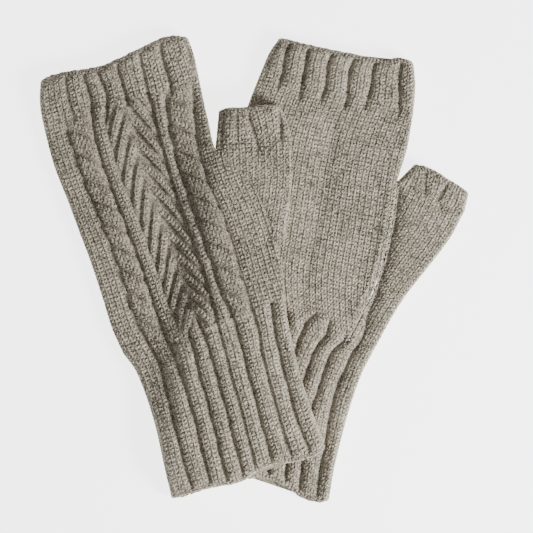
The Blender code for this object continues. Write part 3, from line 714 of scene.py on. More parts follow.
@dataclass
class Cloth:
    """The form of one flattened piece of knitted cloth.

    A place on it is an arc, which is the distance over the folded edges and across from the left fold's end,
    and a distance along from the hem.
    """

    outline: Outline
    start: float
    end: float
    height: Height
    waves: tuple[Sequence[Wave], Sequence[Wave]] = (STRAIGHT, STRAIGHT)
    free: tuple[bool, bool] = (False, False)
    seam: ThumbSeam | None = None
    opening: float = 0.0
    tube: bool = True

    def __post_init__(self) -> None:
        """Leave half a slit at each sewn end."""
        self.start += 0.0 if self.free[0] else CLOTH.slit / 2
        self.end -= 0.0 if self.free[1] else CLOTH.slit / 2

    @property
    def half(self) -> float:
        """Outer radius of the folded edges."""
        return CLOTH.half if self.tube else CLOTH.fold

    def turns(self, along: Array) -> tuple[Array, Array]:
        """How far the edges are folded; an edge sewn to the thumb or hand only rolls a little.

        Args:
            along: Distances from the hem.

        Returns:
            Radians of fold at the left and at the right edge.
        """
        full = np.full(len(along), math.radians(CLOTH.fold_angle))
        if self.seam is None:
            return full, full
        share = (smooth((along - self.seam.low) / CLOTH.seam_fade + 0.5)
                 * smooth((self.seam.high - along) / CLOTH.seam_fade + 0.5))
        rolled = full + (math.radians(self.seam.roll) - full) * share
        return (full, rolled) if self.seam.on_right else (rolled, full)

    def span(self, along: Array) -> tuple[Array, Array]:
        """Reach of the cloth round its folds.

        Args:
            along: Distances from the hem.

        Returns:
            The lowest and the highest arc.
        """
        left, right = self.turns(along)
        flat = self.outline.width(along) - self.half * (np.sin(left) + np.sin(right))
        return -self.half * left, flat + self.half * right

    def arc_of(self, across: Array, along: Array) -> Array:
        """Arc of plain distances from the left edge."""
        left, _ = self.turns(along)
        return across - self.half * np.sin(left)

    def end_distance(self, along: Array) -> Array:
        """Distance to the nearest free end.

        Args:
            along: Distances from the hem.

        Returns:
            The distance of each place, which is infinite on a piece without a free end.
        """
        low = along - self.start if self.free[0] else np.full(len(along), math.inf)
        high = self.end - along if self.free[1] else np.full(len(along), math.inf)
        return np.minimum(low, high)

    def fade(self, along: Array) -> Array:
        """Share of the relief that stands at distances along the piece; free edges have a smooth rim."""
        return smooth((self.end_distance(along) - CLOTH.rim) / CLOTH.rim_fade)

    def plan(self, across: Array, along: Array) -> Array:
        """Lay places out in plan, with the waves and round corners of free ends.

        Args:
            across: Distances from the left edge.
            along: Distances from the hem.

        Returns:
            A plan point for each place.
        """
        left, right = self.outline.edges(along)
        width = np.linalg.norm(right - left, axis=1)
        near = np.clip(self.end_distance(along), 0.0, CLOTH.end_round)
        inset = CLOTH.end_round - np.sqrt(CLOTH.end_round ** 2 - (CLOTH.end_round - near) ** 2)
        if self.seam is not None:
            margin = CLOTH.slit / 2
            low_inset = np.full(len(along), 0.0 if self.seam.on_right else margin)
            high_inset = np.full(len(along), margin if self.seam.on_right else 0.0)
        else:
            low_inset = high_inset = inset
        share = (low_inset + across * (1 - (low_inset + high_inset) / width)) / width
        shift = np.zeros(len(along))
        if self.free[0]:
            shift -= reach_of(self.waves[0], share) * smooth(1 - (along - self.start) / CLOTH.bow_fade)
        if self.free[1]:
            shift += reach_of(self.waves[1], share) * smooth(1 - (self.end - along) / CLOTH.bow_fade)
        left, right = self.outline.edges(along + shift)
        return left + (right - left) * share[:, None]

    def surface(self, arc: Array, along: Array, side: Side, depth: Array | float = 0.0,
                relief: Relief | None = None) -> Array:
        """Points of the cloth.

        Args:
            arc: Distances over and across the cloth from the left edge of its level part.
            along: Distances from the hem.
            side: The upper or the lower run.
            depth: Distance under the cloth's face.
            relief: Pattern raised on the face, if any.

        Returns:
            A point for each place, in the tables' millimetres.
        """
        width = self.outline.width(along)
        left, right = self.turns(along)
        first = self.half * np.sin(left)
        body = width - first - self.half * np.sin(right)
        radius = self.half - depth
        left_turn = np.maximum(-arc, 0.0) / self.half
        right_turn = np.maximum(arc - body, 0.0) / self.half
        raised = 0.0
        if relief is not None:
            at_fold = smooth(1.0 + np.minimum(arc, body - arc) / (self.half * CLOTH.fold_fade))
            raised = relief.raised(first + np.clip(arc, 0, body), along) * self.fade(along) * at_fold
        radius = radius + raised
        across = first + np.clip(arc, 0.0, body) - radius * np.sin(left_turn) + radius * np.sin(right_turn)
        rise = radius * np.cos(left_turn + right_turn)
        plan = self.plan(across, along)
        lens = 0.0
        if side is Side.UPPER and self.opening:
            share = np.clip(across / width, 0, 1)
            near = np.exp(-(self.end_distance(along) / CLOTH.mouth_reach) ** 2)
            lens = self.opening * 4 * share * (1 - share) * near
        gap = 0.0 if self.tube else CLOTH.seam / 2
        z = CLOTH.half + self.height(plan) + side.value * (gap + rise) + lens
        return np.column_stack([plan, z])

    def flat_size(self, all_round: bool, samples: int = 60) -> tuple[float, float, float]:
        """Cut of the piece, measured over its folds.

        Args:
            all_round: Whether the piece has an upper and a lower run.
            samples: Number of courses at which its width is read.

        Returns:
            Greatest width, length and area, in millimetres and square millimetres.
        """
        along = np.linspace(self.start, self.end, samples)
        low, high = self.span(along)
        across = (high - low) * (2 if all_round else 1)
        length = self.end - self.start
        return float(across.max()), length, float(across.mean() * length)


# ---------------------------------------------------------------- stitches

class Rows:
    """A set of things whose values are arrays of one length, held as dataclass fields."""

    @classmethod
    def join(cls, parts: Sequence[Self]) -> Self:
        """All things of several sets."""
        return cls(*(np.concatenate([getattr(part, entry.name) for part in parts]) for entry in fields(cls)))

    def keep(self, wanted: Array) -> Self:
        """Only the wanted things."""
        return type(self)(*(getattr(self, entry.name)[wanted] for entry in fields(self)))


@dataclass
class Legs(Rows):
    """Legs of stitches on one run of cloth, each at its place with its heading in the cloth's own plane."""

    arc: Array
    along: Array
    head_arc: Array
    head_along: Array
    size: Array                    # width, height and length of each leg
    sink: Array                    # depth of its middle line
    dip: Array                     # slope into the cloth, in radians
    tip: Array                     # turn of its face towards the hem or the fingers, in radians

    @classmethod
    def make(cls, arc: Array, along: Array, heading: tuple[Array, Array], size: tuple[Array | float, ...],
             sink: float = STITCH.sink, dip: float = STITCH.leg_dip, tip: float = 0.0) -> Legs:
        """Legs of one kind.

        Args:
            arc: Arcs of their middles.
            along: Distances of their middles from the hem.
            heading: Direction of each leg, as arc and along parts.
            size: Width, height and length, each for all legs or one for each.
            sink: Depth of their middle lines.
            dip: Degrees of their slope into the cloth.
            tip: Degrees that their faces turn towards the hem or the fingers.

        Returns:
            The legs.
        """
        count = len(arc)
        norm = np.hypot(*heading)
        columns = [np.broadcast_to(value, count) for value in size]
        return cls(arc, along, heading[0] / norm, heading[1] / norm, np.column_stack(columns),
                   np.full(count, sink), np.full(count, math.radians(dip)), np.full(count, math.radians(tip)))


def knit(arc: Array, along: Array, line: tuple[Array, Array], wale: Array | float) -> Legs:
    """Knit stitches: a V of two legs at each place.

    Args:
        arc: Arcs of the stitches' middles.
        along: Distances of the stitches' middles from the hem.
        line: Direction of the wale at each stitch, as arc and along parts.
        wale: Width of the wale.

    Returns:
        The two legs of every stitch.
    """
    norm = np.hypot(*line)
    up = (line[0] / norm, line[1] / norm)
    out = (up[1], -up[0])
    lean = math.radians(STITCH.leg_lean)
    share = wale / STITCH.wale
    sides = []
    for sign in (-1.0, 1.0):
        place = (arc + sign * out[0] * wale / 4, along + sign * out[1] * wale / 4)
        heading = (up[0] * math.cos(lean) + sign * out[0] * math.sin(lean),
                   up[1] * math.cos(lean) + sign * out[1] * math.sin(lean))
        size = (STITCH.leg_width * share, STITCH.leg_height, STITCH.leg_length)
        sides.append(Legs.make(*place, heading, size))
    return Legs.join(sides)


@dataclass
class Wales:
    """Straight wales of plain knitting, an even distance apart, counted from one edge."""

    from_right: bool = False

    def rows(self, cloth: Cloth) -> Array:
        """Spread the courses evenly over a piece.

        Args:
            cloth: The piece of cloth.

        Returns:
            The distance of each course from the hem.
        """
        low = cloth.start + (STITCH.edge_clear if cloth.free[0] else 0.0)
        high = cloth.end - (STITCH.edge_clear if cloth.free[1] else 0.0)
        count = max(round((high - low) / STITCH.course), 1)
        return low + (np.arange(count) + 0.5) * (high - low) / count

    def legs(self, cloth: Cloth) -> Legs:
        """All stitches of the run.

        Args:
            cloth: The piece of cloth.

        Returns:
            Legs of the stitches that lie on the piece.
        """
        rows = self.rows(cloth)
        low, high = cloth.span(rows)
        wanted = self.beside(high, rows, -1.0, cloth) if self.from_right else self.beside(low, rows, 1.0, cloth)
        return self.on_cloth(wanted, cloth)

    @staticmethod
    def wale(arc: Array, rows: Array, width: Array | float) -> Legs:
        """One wale through an arc at every course."""
        return knit(arc, rows, (np.gradient(arc, rows), np.ones(len(rows))), width)

    def between(self, left: Array, right: Array, rows: Array) -> Legs:
        """Wales that fill the cloth between two arcs.

        Args:
            left: Left arc at each course.
            right: Right arc at each course.
            rows: Distances of the courses from the hem.

        Returns:
            Legs of a whole number of wales.
        """
        count = max(round(float((right - left).mean()) / STITCH.wale), 1)
        width = (right - left) / count
        return Legs.join([self.wale(left + (k + 0.5) * width, rows, width) for k in range(count)])

    def beside(self, edge: Array, rows: Array, side: float, cloth: Cloth) -> Legs:
        """Wales of full width on one side of an arc, up to the far edge of the cloth.

        Args:
            edge: The arc at each course.
            rows: Distances of the courses from the hem.
            side: 1 for the wales to the right of it, or -1 for those to the left.
            cloth: The piece of cloth.

        Returns:
            Legs of the wales, some of which may lie beyond the cloth.
        """
        low, high = cloth.span(rows)
        reach = float((high - edge if side > 0 else edge - low).max())
        count = math.ceil(reach / STITCH.wale)
        return Legs.join([self.wale(edge + side * (k + 0.5) * STITCH.wale, rows, STITCH.wale)
                          for k in range(count)])

    @staticmethod
    def on_cloth(legs: Legs, cloth: Cloth) -> Legs:
        """Leave out what lies beyond a piece.

        Args:
            legs: Legs on the piece and round it.
            cloth: The piece of cloth.

        Returns:
            Only the legs that lie on the piece.
        """
        low, high = cloth.span(legs.along)
        wanted = (legs.arc > low + STITCH.side_margin) & (legs.arc < high - STITCH.side_margin)
        wanted &= (legs.along > cloth.start + STITCH.end_margin) & (legs.along < cloth.end - STITCH.end_margin)
        return legs.keep(wanted)


@dataclass
class RibWales(Wales):
    """Wales on the ribs, none of which lies in a groove."""

    grooves: Sequence[Groove] = ()

    def legs(self, cloth: Cloth) -> Legs:
        """All stitches of the ribbed run.

        Args:
            cloth: The piece of cloth.

        Returns:
            Legs of the stitches that lie on the piece.
        """
        rows = self.rows(cloth)
        low, high = cloth.span(rows)
        clear = STITCH.clear / 2
        arcs = [cloth.arc_of(groove.across(rows), rows) for groove in self.grooves]
        starts = [low, *(arc + clear for arc in arcs)]
        ends = [*(arc - clear for arc in arcs), high]
        return self.on_cloth(Legs.join([self.between(*pair, rows) for pair in zip(starts, ends)]), cloth)


@dataclass(frozen=True)
class StrandWales:
    """Where the wales of a cable's strand run."""

    arms: tuple[tuple[float, float], ...]      # start and end of each arm, as shares of the column's width
    places: tuple[float, ...]                  # places of the wales between two gutters
    width: float                               # width of each, as a share of the distance between gutters


STRAND_WALES = {
    ColumnKind.ROPE: StrandWales(((0.95, 0.05),), (0.21, 0.5, 0.79), 0.29),
    ColumnKind.CHEVRON: StrandWales(((0.04, 0.47), (0.96, 0.53)), (0.5,), 0.6),
}


@dataclass
class CableWales(Wales):
    """Stitches of the cable panel, with plain knitting on both sides of it."""

    columns: Sequence[Column] = CABLE_COLUMNS
    path_points: int = 60          # points that trace the path of a strand

    def legs(self, cloth: Cloth) -> Legs:
        """All stitches of the back, on the cable panel and beside it.

        Args:
            cloth: The piece of cloth.

        Returns:
            Legs of the stitches that lie on the piece.
        """
        rows = self.rows(cloth)
        low, _ = cloth.span(rows)
        clear = STITCH.clear / 2
        starts = [cloth.arc_of(column.left.across(rows), rows) - clear for column in self.columns]
        ends = [cloth.arc_of(column.right.across(rows), rows) + clear for column in self.columns]
        parts = [self.between(*pair, rows) for pair in zip([low, *ends], starts)]
        parts.append(self.beside(ends[-1], rows, 1.0, cloth))
        for column in self.columns:
            parts += self._strands(cloth, column)
        return self.on_cloth(Legs.join(parts), cloth)

    def _strands(self, cloth: Cloth, column: Column) -> list[Legs]:
        """Stitches on every strand of a rope or a stack of chevrons.

        Args:
            cloth: The piece of cloth.
            column: The rope or the stack of chevrons.

        Returns:
            Legs of each wale of each strand.
        """
        wales = STRAND_WALES[column.kind]
        first = math.floor(float(column.phase_of(cloth.start))) - 1
        last = math.ceil(float(column.phase_of(cloth.end))) + 2
        parts = []
        for number in range(first, last):
            for start, end in wales.arms:
                share = np.linspace(start, end, self.path_points)
                for place in wales.places:
                    along = column.along_of(number + place - column.bend(share))
                    left, right = column.left.across(along), column.right.across(along)
                    path = np.column_stack([cloth.arc_of(left + (right - left) * share, along), along])
                    parts.append(self._on_path(path, wales.width))
        return parts

    @staticmethod
    def _on_path(path: Array, width: float) -> Legs:
        """Stitches spaced evenly along a strand's path.

        Args:
            path: Points of the path, as arcs and distances from the hem.
            width: Width of the wale as a share of the distance between gutters.

        Returns:
            Legs of the wale.
        """
        steps = np.linalg.norm(np.diff(path, axis=0), axis=1)
        length = np.concatenate([[0.0], np.cumsum(steps)])
        at = (np.arange(int(length[-1] / STITCH.course)) + 0.5) * STITCH.course
        arc, along = (np.interp(at, length, path[:, k]) for k in (0, 1))
        ahead = np.minimum(at + STITCH.line_step, length[-1])
        behind = np.maximum(at - STITCH.line_step, 0.0)
        line = tuple(np.interp(ahead, length, path[:, k]) - np.interp(behind, length, path[:, k])
                     for k in (0, 1))
        level = np.abs(line[0]) / np.hypot(*line)
        return knit(arc, along, line, np.clip(width * STRAND.pitch * level, STITCH.narrowest, STITCH.widest))


@dataclass(frozen=True)
class ChainRow:
    """One row of legs along a bound-off edge, in millimetres and degrees."""

    offset: float                  # distance from the edge
    lean: float                    # lean from the line of the edge
    sink: float
    tip: float                     # turn of its face over the rim


@dataclass(frozen=True)
class BoundEdge:
    """Chains of bound-off stitches along the free edge of a run."""

    spacing: float = 1.75
    leg: tuple[float, float, float] = (1.6, 1.2, 3.2)      # width, height and length
    leg_dip: float = 2.0
    rows: tuple[ChainRow, ...] = (ChainRow(1.7, 7.0, 0.3, 0.0), ChainRow(0.8, -5.0, 0.4, 25.0),
                                  ChainRow(0.3, 3.0, 1.0, 70.0))

    def legs(self, cloth: Cloth, at_start: bool) -> Legs:
        """Stitches of the edge: a chain on its face, and a row over its rim.

        Args:
            cloth: The piece of cloth.
            at_start: Whether the edge is at the start of the piece, or at its end.

        Returns:
            Legs of the chains.
        """
        end, inward = (cloth.start, 1.0) if at_start else (cloth.end, -1.0)
        low, high = (float(value[0]) for value in cloth.span(np.array([end])))
        count = round((high - low) / self.spacing)
        arc = low + (np.arange(count) + 0.5) * (high - low) / count
        parts = []
        for row in self.rows:
            along = np.full(count, end + inward * row.offset)
            lean = math.radians(row.lean) * inward
            heading = (np.full(count, math.cos(lean)), np.full(count, math.sin(lean)))
            parts.append(Legs.make(arc, along, heading, self.leg, row.sink, self.leg_dip, -inward * row.tip))
        return Legs.join(parts)


# ---------------------------------------------------------------- nodes

def plug(tree: bpy.types.NodeTree, values: dict[bpy.types.NodeSocket, object]) -> None:
    """Give each input socket its value, or join it to the output socket given for it."""
    for socket, value in values.items():
        if isinstance(value, bpy.types.NodeSocket):
            tree.links.new(value, socket)
        else:
            socket.default_value = value


def add_node(tree: bpy.types.NodeTree, kind: str, settings: dict[str, object] | None = None,
             **inputs: object) -> bpy.types.Node:
    """Add a node to a tree.

    Args:
        tree: The tree.
        kind: The node's type.
        settings: Its own properties.
        **inputs: A socket to join, or a value, for each of its inputs by name.

    Returns:
        The new node.
    """
    node = tree.nodes.new(kind)
    for name, value in (settings or {}).items():
        setattr(node, name, value)
    plug(tree, {node.inputs[name.replace("_", " ")]: value for name, value in inputs.items()})
    return node


def add_math(tree: bpy.types.NodeTree, operation: str, *values: object) -> bpy.types.NodeSocket:
    """Result of one operation on values or sockets."""
    node = add_node(tree, "ShaderNodeMath", {"operation": operation})
    plug(tree, dict(zip(node.inputs, values)))
    return node.outputs[0]


def add_sum(tree: bpy.types.NodeTree,
            parts: Sequence[tuple[bpy.types.NodeSocket, float]]) -> bpy.types.NodeSocket:
    """Weighted sum of sockets.

    Args:
        tree: The tree.
        parts: Each socket with its weight.

    Returns:
        The socket of the sum.
    """
    total: bpy.types.NodeSocket | float = 0.0
    for socket, weight in parts:
        total = add_math(tree, "MULTIPLY_ADD", socket, weight, total)
    return total


# ---------------------------------------------------------------- stitch meshes by Geometry Nodes

class StitchTree:
    """A Geometry Nodes tree that lays a leg of yarn at every point of a mesh."""

    NAME = "yarn_legs"
    ARCH_LEVEL = 0.12              # where an arch crosses its leg's line: 0 is its middle, and 0.25 its ends
    INPUTS = (("Points", "NodeSocketGeometry"), ("Segments", "NodeSocketInt"), ("Rings", "NodeSocketInt"),
              ("Plain Segments", "NodeSocketInt"), ("Plain Rings", "NodeSocketInt"), ("Arch", "NodeSocketFloat"),
              ("Taper", "NodeSocketFloat"), ("Unevenness", "NodeSocketFloat"), ("Seed", "NodeSocketInt"),
              ("Wool", "NodeSocketMaterial"))

    def __init__(self) -> None:
        """Build the tree."""
        self.tree = bpy.data.node_groups.new(self.NAME, "GeometryNodeTree")
        face = self.tree.interface
        self.sockets = {name: face.new_socket(name=name, in_out="INPUT", socket_type=kind).identifier
                        for name, kind in self.INPUTS}
        face.new_socket(name="Knitting", in_out="OUTPUT", socket_type="NodeSocketGeometry")
        self.source = self.tree.nodes.new("NodeGroupInput")
        fine = self._instances(self._leg("Segments", "Rings"), coarse=False)
        plain = self._instances(self._leg("Plain Segments", "Plain Rings"), coarse=True)
        joined = self._node("GeometryNodeJoinGeometry")
        self._link(fine.outputs[0], joined.inputs[0])
        self._link(plain.outputs[0], joined.inputs[0])
        real = self._node("GeometryNodeRealizeInstances", Geometry=joined.outputs[0])
        soft = self._node("GeometryNodeSetShadeSmooth", Geometry=real.outputs[0])
        dressed = self._node("GeometryNodeSetMaterial", Geometry=soft.outputs[0],
                             Material=self.source.outputs["Wool"])
        self._link(dressed.outputs[0], self._node("NodeGroupOutput").inputs[0])

    def _link(self, output: bpy.types.NodeSocket, socket: bpy.types.NodeSocket) -> None:
        """Join two sockets."""
        self.tree.links.new(output, socket)

    def _node(self, kind: str, settings: dict[str, object] | None = None, **inputs: object) -> bpy.types.Node:
        """Add a node to this tree."""
        return add_node(self.tree, kind, settings, **inputs)

    def _math(self, operation: str, first: object, second: object) -> bpy.types.NodeSocket:
        """Result of one operation on two values or sockets of this tree."""
        return add_math(self.tree, operation, first, second)

    def _leg(self, segments: str, rings: str) -> bpy.types.Node:
        """Make one leg of unit size: a spindle of yarn that arches outwards and is fuller at its foot.

        Args:
            segments: Name of the tree's input for the number of faces round it.
            rings: Name of the input for the number of faces along it.

        Returns:
            The node whose first output is the leg.
        """
        ball = self._node("GeometryNodeMeshUVSphere", Segments=self.source.outputs[segments],
                          Rings=self.source.outputs[rings], Radius=0.5)
        place = self._node("GeometryNodeInputPosition").outputs[0]
        parts = self._node("ShaderNodeSeparateXYZ", Vector=place)
        x, y, z = parts.outputs
        fullness = self._math("MULTIPLY", z, self.source.outputs["Taper"])
        bow = self._math("MULTIPLY", self._math("SUBTRACT", self.ARCH_LEVEL, self._math("MULTIPLY", z, z)),
                         self.source.outputs["Arch"])
        shift = self._node("ShaderNodeCombineXYZ", X=self._math("MULTIPLY", x, fullness),
                           Y=self._math("ADD", self._math("MULTIPLY", y, fullness), bow), Z=0.0)
        bent = self._node("GeometryNodeSetPosition", Geometry=ball.outputs["Mesh"], Offset=shift.outputs[0])
        last = bent
        for name in ("Leg", "OFBake"):
            last = self._node("GeometryNodeStoreNamedAttribute", {"data_type": "FLOAT2", "domain": "CORNER"},
                              Geometry=last.outputs[0], Name=name, Value=ball.outputs["UV Map"])
        return last

    def _attribute(self, name: str, kind: str) -> bpy.types.NodeSocket:
        """A named attribute of the points."""
        node = self._node("GeometryNodeInputNamedAttribute", {"data_type": kind}, Name=name)
        return next(socket for socket in node.outputs if socket.enabled and socket.name == "Attribute")

    def _instances(self, leg: bpy.types.Node, coarse: bool) -> bpy.types.Node:
        """Lay a leg on each point of one kind.

        Args:
            leg: The node that makes the leg.
            coarse: Whether the legs go on the points that are marked coarse, or on the others.

        Returns:
            The node whose first output is all these legs.
        """
        turn = self._node("FunctionNodeAxesToRotation", {"primary_axis": "Z", "secondary_axis": "Y"})
        self._link(self._attribute("heading", "FLOAT_VECTOR"), turn.inputs["Primary Axis"])
        self._link(self._attribute("facing", "FLOAT_VECTOR"), turn.inputs["Secondary Axis"])
        uneven = self.source.outputs["Unevenness"]
        chance = self._node("FunctionNodeRandomValue", {"data_type": "FLOAT"}, Seed=self.source.outputs["Seed"])
        self._link(self._math("SUBTRACT", 1.0, uneven), chance.inputs[2])
        self._link(self._math("ADD", 1.0, uneven), chance.inputs[3])
        size = self._node("ShaderNodeVectorMath", {"operation": "SCALE"})
        self._link(self._attribute("size", "FLOAT_VECTOR"), size.inputs[0])
        self._link(chance.outputs[1], size.inputs["Scale"])
        marked = self._attribute("coarse", "BOOLEAN")
        if not coarse:
            other = self._node("FunctionNodeBooleanMath", {"operation": "NOT"})
            self._link(marked, other.inputs[0])
            marked = other.outputs[0]
        return self._node("GeometryNodeInstanceOnPoints", Points=self.source.outputs["Points"], Selection=marked,
                          Instance=leg.outputs[0], Rotation=turn.outputs[0], Scale=size.outputs[0])


@dataclass
class YarnLegs(Rows):
    """Placed legs of one piece, ready to be made into a mesh."""

    place: Array
    heading: Array
    facing: Array
    size: Array
    coarse: Array

    @classmethod
    def on(cls, cloth: Cloth, legs: Legs, side: Side, relief: Relief, coarse: bool,
           rng: np.random.Generator) -> YarnLegs:
        """Lay legs on a run of cloth.

        Args:
            cloth: The piece of cloth.
            legs: Legs in the cloth's own plane.
            side: The run that they lie on.
            relief: The pattern raised on it.
            coarse: Whether the run is out of sight, so that its legs have few faces.
            rng: Source of small unevennesses.

        Returns:
            The legs in space, in the tables' millimetres.
        """
        count = len(legs.arc)
        arc = legs.arc + rng.normal(0, UNEVEN.shift, count)
        along = legs.along + rng.normal(0, UNEVEN.shift, count)
        step = STITCH.slope_step

        def at(shift_arc: Array | float, shift_along: Array | float) -> Array:
            """Points of the face at small shifts."""
            return cloth.surface(arc + shift_arc, along + shift_along, side, 0.0, relief)

        over = at(step, 0.0) - at(-step, 0.0)
        up = at(0.0, step) - at(0.0, -step)
        normal = np.cross(over, up) * side.value
        normal /= np.linalg.norm(normal, axis=1)[:, None]
        turn = rng.normal(0, math.radians(UNEVEN.turn), count) * np.where(legs.tip == 0, 1.0, UNEVEN.rim_turn)
        head_arc = legs.head_arc * np.cos(turn) - legs.head_along * np.sin(turn)
        head_along = legs.head_arc * np.sin(turn) + legs.head_along * np.cos(turn)
        heading = over * head_arc[:, None] + up * head_along[:, None]
        heading /= np.linalg.norm(heading, axis=1)[:, None]
        outward = np.cross(normal, over) * side.value
        outward /= np.linalg.norm(outward, axis=1)[:, None]
        facing = normal * np.cos(legs.tip)[:, None] + outward * np.sin(legs.tip)[:, None]
        heading = heading - facing * np.sin(legs.dip)[:, None]
        place = at(0.0, 0.0) - normal * legs.sink[:, None]
        sideways = np.cross(heading, facing)
        axes = np.column_stack([sideways[:, 2], facing[:, 2], heading[:, 2]])
        reach = 0.5 * np.linalg.norm(axes * legs.size * STITCH.spare, axis=1) + STITCH.floor_clear
        place[:, 2] = np.maximum(place[:, 2], reach)
        return cls(place, heading, facing, legs.size, np.full(count, coarse))


def to_metres(points: Array) -> Array:
    """Points in metres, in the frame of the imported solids."""
    return (points - np.array([*BOX_CENTRE, 0.0])) * MM


class Knitter:
    """Makes the mesh of a piece's stitches."""

    # Faces round and along a leg, in sight and out of sight, and its form.
    SHAPE = {"Segments": 6, "Rings": 4, "Plain Segments": 4, "Plain Rings": 3, "Arch": 0.5, "Taper": -0.3}
    BAKE_MARGIN = 0.06             # margin round a leg in its cell of the bake map, as a share of the cell

    def __init__(self) -> None:
        """Build the shared tree."""
        self.stitch_tree = StitchTree()

    def make(self, name: str, legs: YarnLegs, wool: bpy.types.Material, seed: int) -> bpy.types.Object:
        """Lay a leg of yarn at every place.

        Args:
            name: Name of the new piece.
            legs: Places, headings and sizes of its legs.
            wool: Its material.
            seed: Seed of its unevenness.

        Returns:
            The piece as a plain mesh.
        """
        points = self._points(name, legs, seed)
        thing = bpy.data.objects.new(name, points)
        bpy.context.scene.collection.objects.link(thing)
        modifier = thing.modifiers.new("knitting", "NODES")
        modifier.node_group = self.stitch_tree.tree
        values = {**self.SHAPE, "Unevenness": UNEVEN.size, "Seed": seed, "Wool": wool}
        for socket, value in values.items():
            modifier[self.stitch_tree.sockets[socket]] = value
        graph = bpy.context.evaluated_depsgraph_get()
        mesh = bpy.data.meshes.new_from_object(thing.evaluated_get(graph))
        thing.modifiers.clear()
        thing.data = mesh
        mesh.name = name
        bpy.data.meshes.remove(points)
        self._spread_bake(mesh, len(legs.place))
        return thing

    @staticmethod
    def _points(name: str, legs: YarnLegs, seed: int) -> bpy.types.Mesh:
        """Make a mesh of bare points that carry the legs' attributes.

        Args:
            name: Name of the piece.
            legs: Places, headings and sizes of its legs.
            seed: Seed of the unevenness of their shades.

        Returns:
            The mesh, with one point for each leg.
        """
        count = len(legs.place)
        mesh = bpy.data.meshes.new(f"{name}_points")
        mesh.vertices.add(count)
        mesh.vertices.foreach_set("co", to_metres(legs.place).ravel())
        rng = np.random.default_rng(seed)
        values = {"heading": legs.heading, "facing": legs.facing, "size": legs.size * MM}
        for label, value in values.items():
            mesh.attributes.new(label, "FLOAT_VECTOR", "POINT").data.foreach_set("vector", value.ravel())
        mesh.attributes.new("coarse", "BOOLEAN", "POINT").data.foreach_set("value", legs.coarse)
        shade = np.clip(rng.normal(1.0, UNEVEN.shade, count), UNEVEN.shade_least, UNEVEN.shade_most)
        mesh.attributes.new("shade", "FLOAT", "POINT").data.foreach_set("value", shade)
        mesh.attributes.new("leg", "INT", "POINT").data.foreach_set("value", np.arange(count, dtype=np.int32))
        return mesh

    def _spread_bake(self, mesh: bpy.types.Mesh, count: int) -> None:
        """Give every leg its own cell of the bake map, and drop the attributes that only placed it.

        Args:
            mesh: Mesh of the stitches.
            count: Number of its legs.
        """
        leg = np.zeros(len(mesh.vertices), np.int32)
        mesh.attributes["leg"].data.foreach_get("value", leg)
        corner = np.zeros(len(mesh.loops), np.int32)
        mesh.loops.foreach_get("vertex_index", corner)
        layer = mesh.uv_layers["OFBake"]
        uv = np.zeros(len(mesh.loops) * 2, np.float32)
        layer.uv.foreach_get("vector", uv)
        uv = uv.reshape(-1, 2)
        side = math.ceil(math.sqrt(count))
        cell = np.column_stack([leg[corner] % side, leg[corner] // side])
        place = cell + self.BAKE_MARGIN + (1 - 2 * self.BAKE_MARGIN) * np.clip(uv, 0, 1)
        layer.uv.foreach_set("vector", (place / side).astype(np.float32).ravel())
        for label in ("heading", "facing", "size", "coarse", "leg"):
            if label in mesh.attributes:
                mesh.attributes.remove(mesh.attributes[label])


# ---------------------------------------------------------------- walls

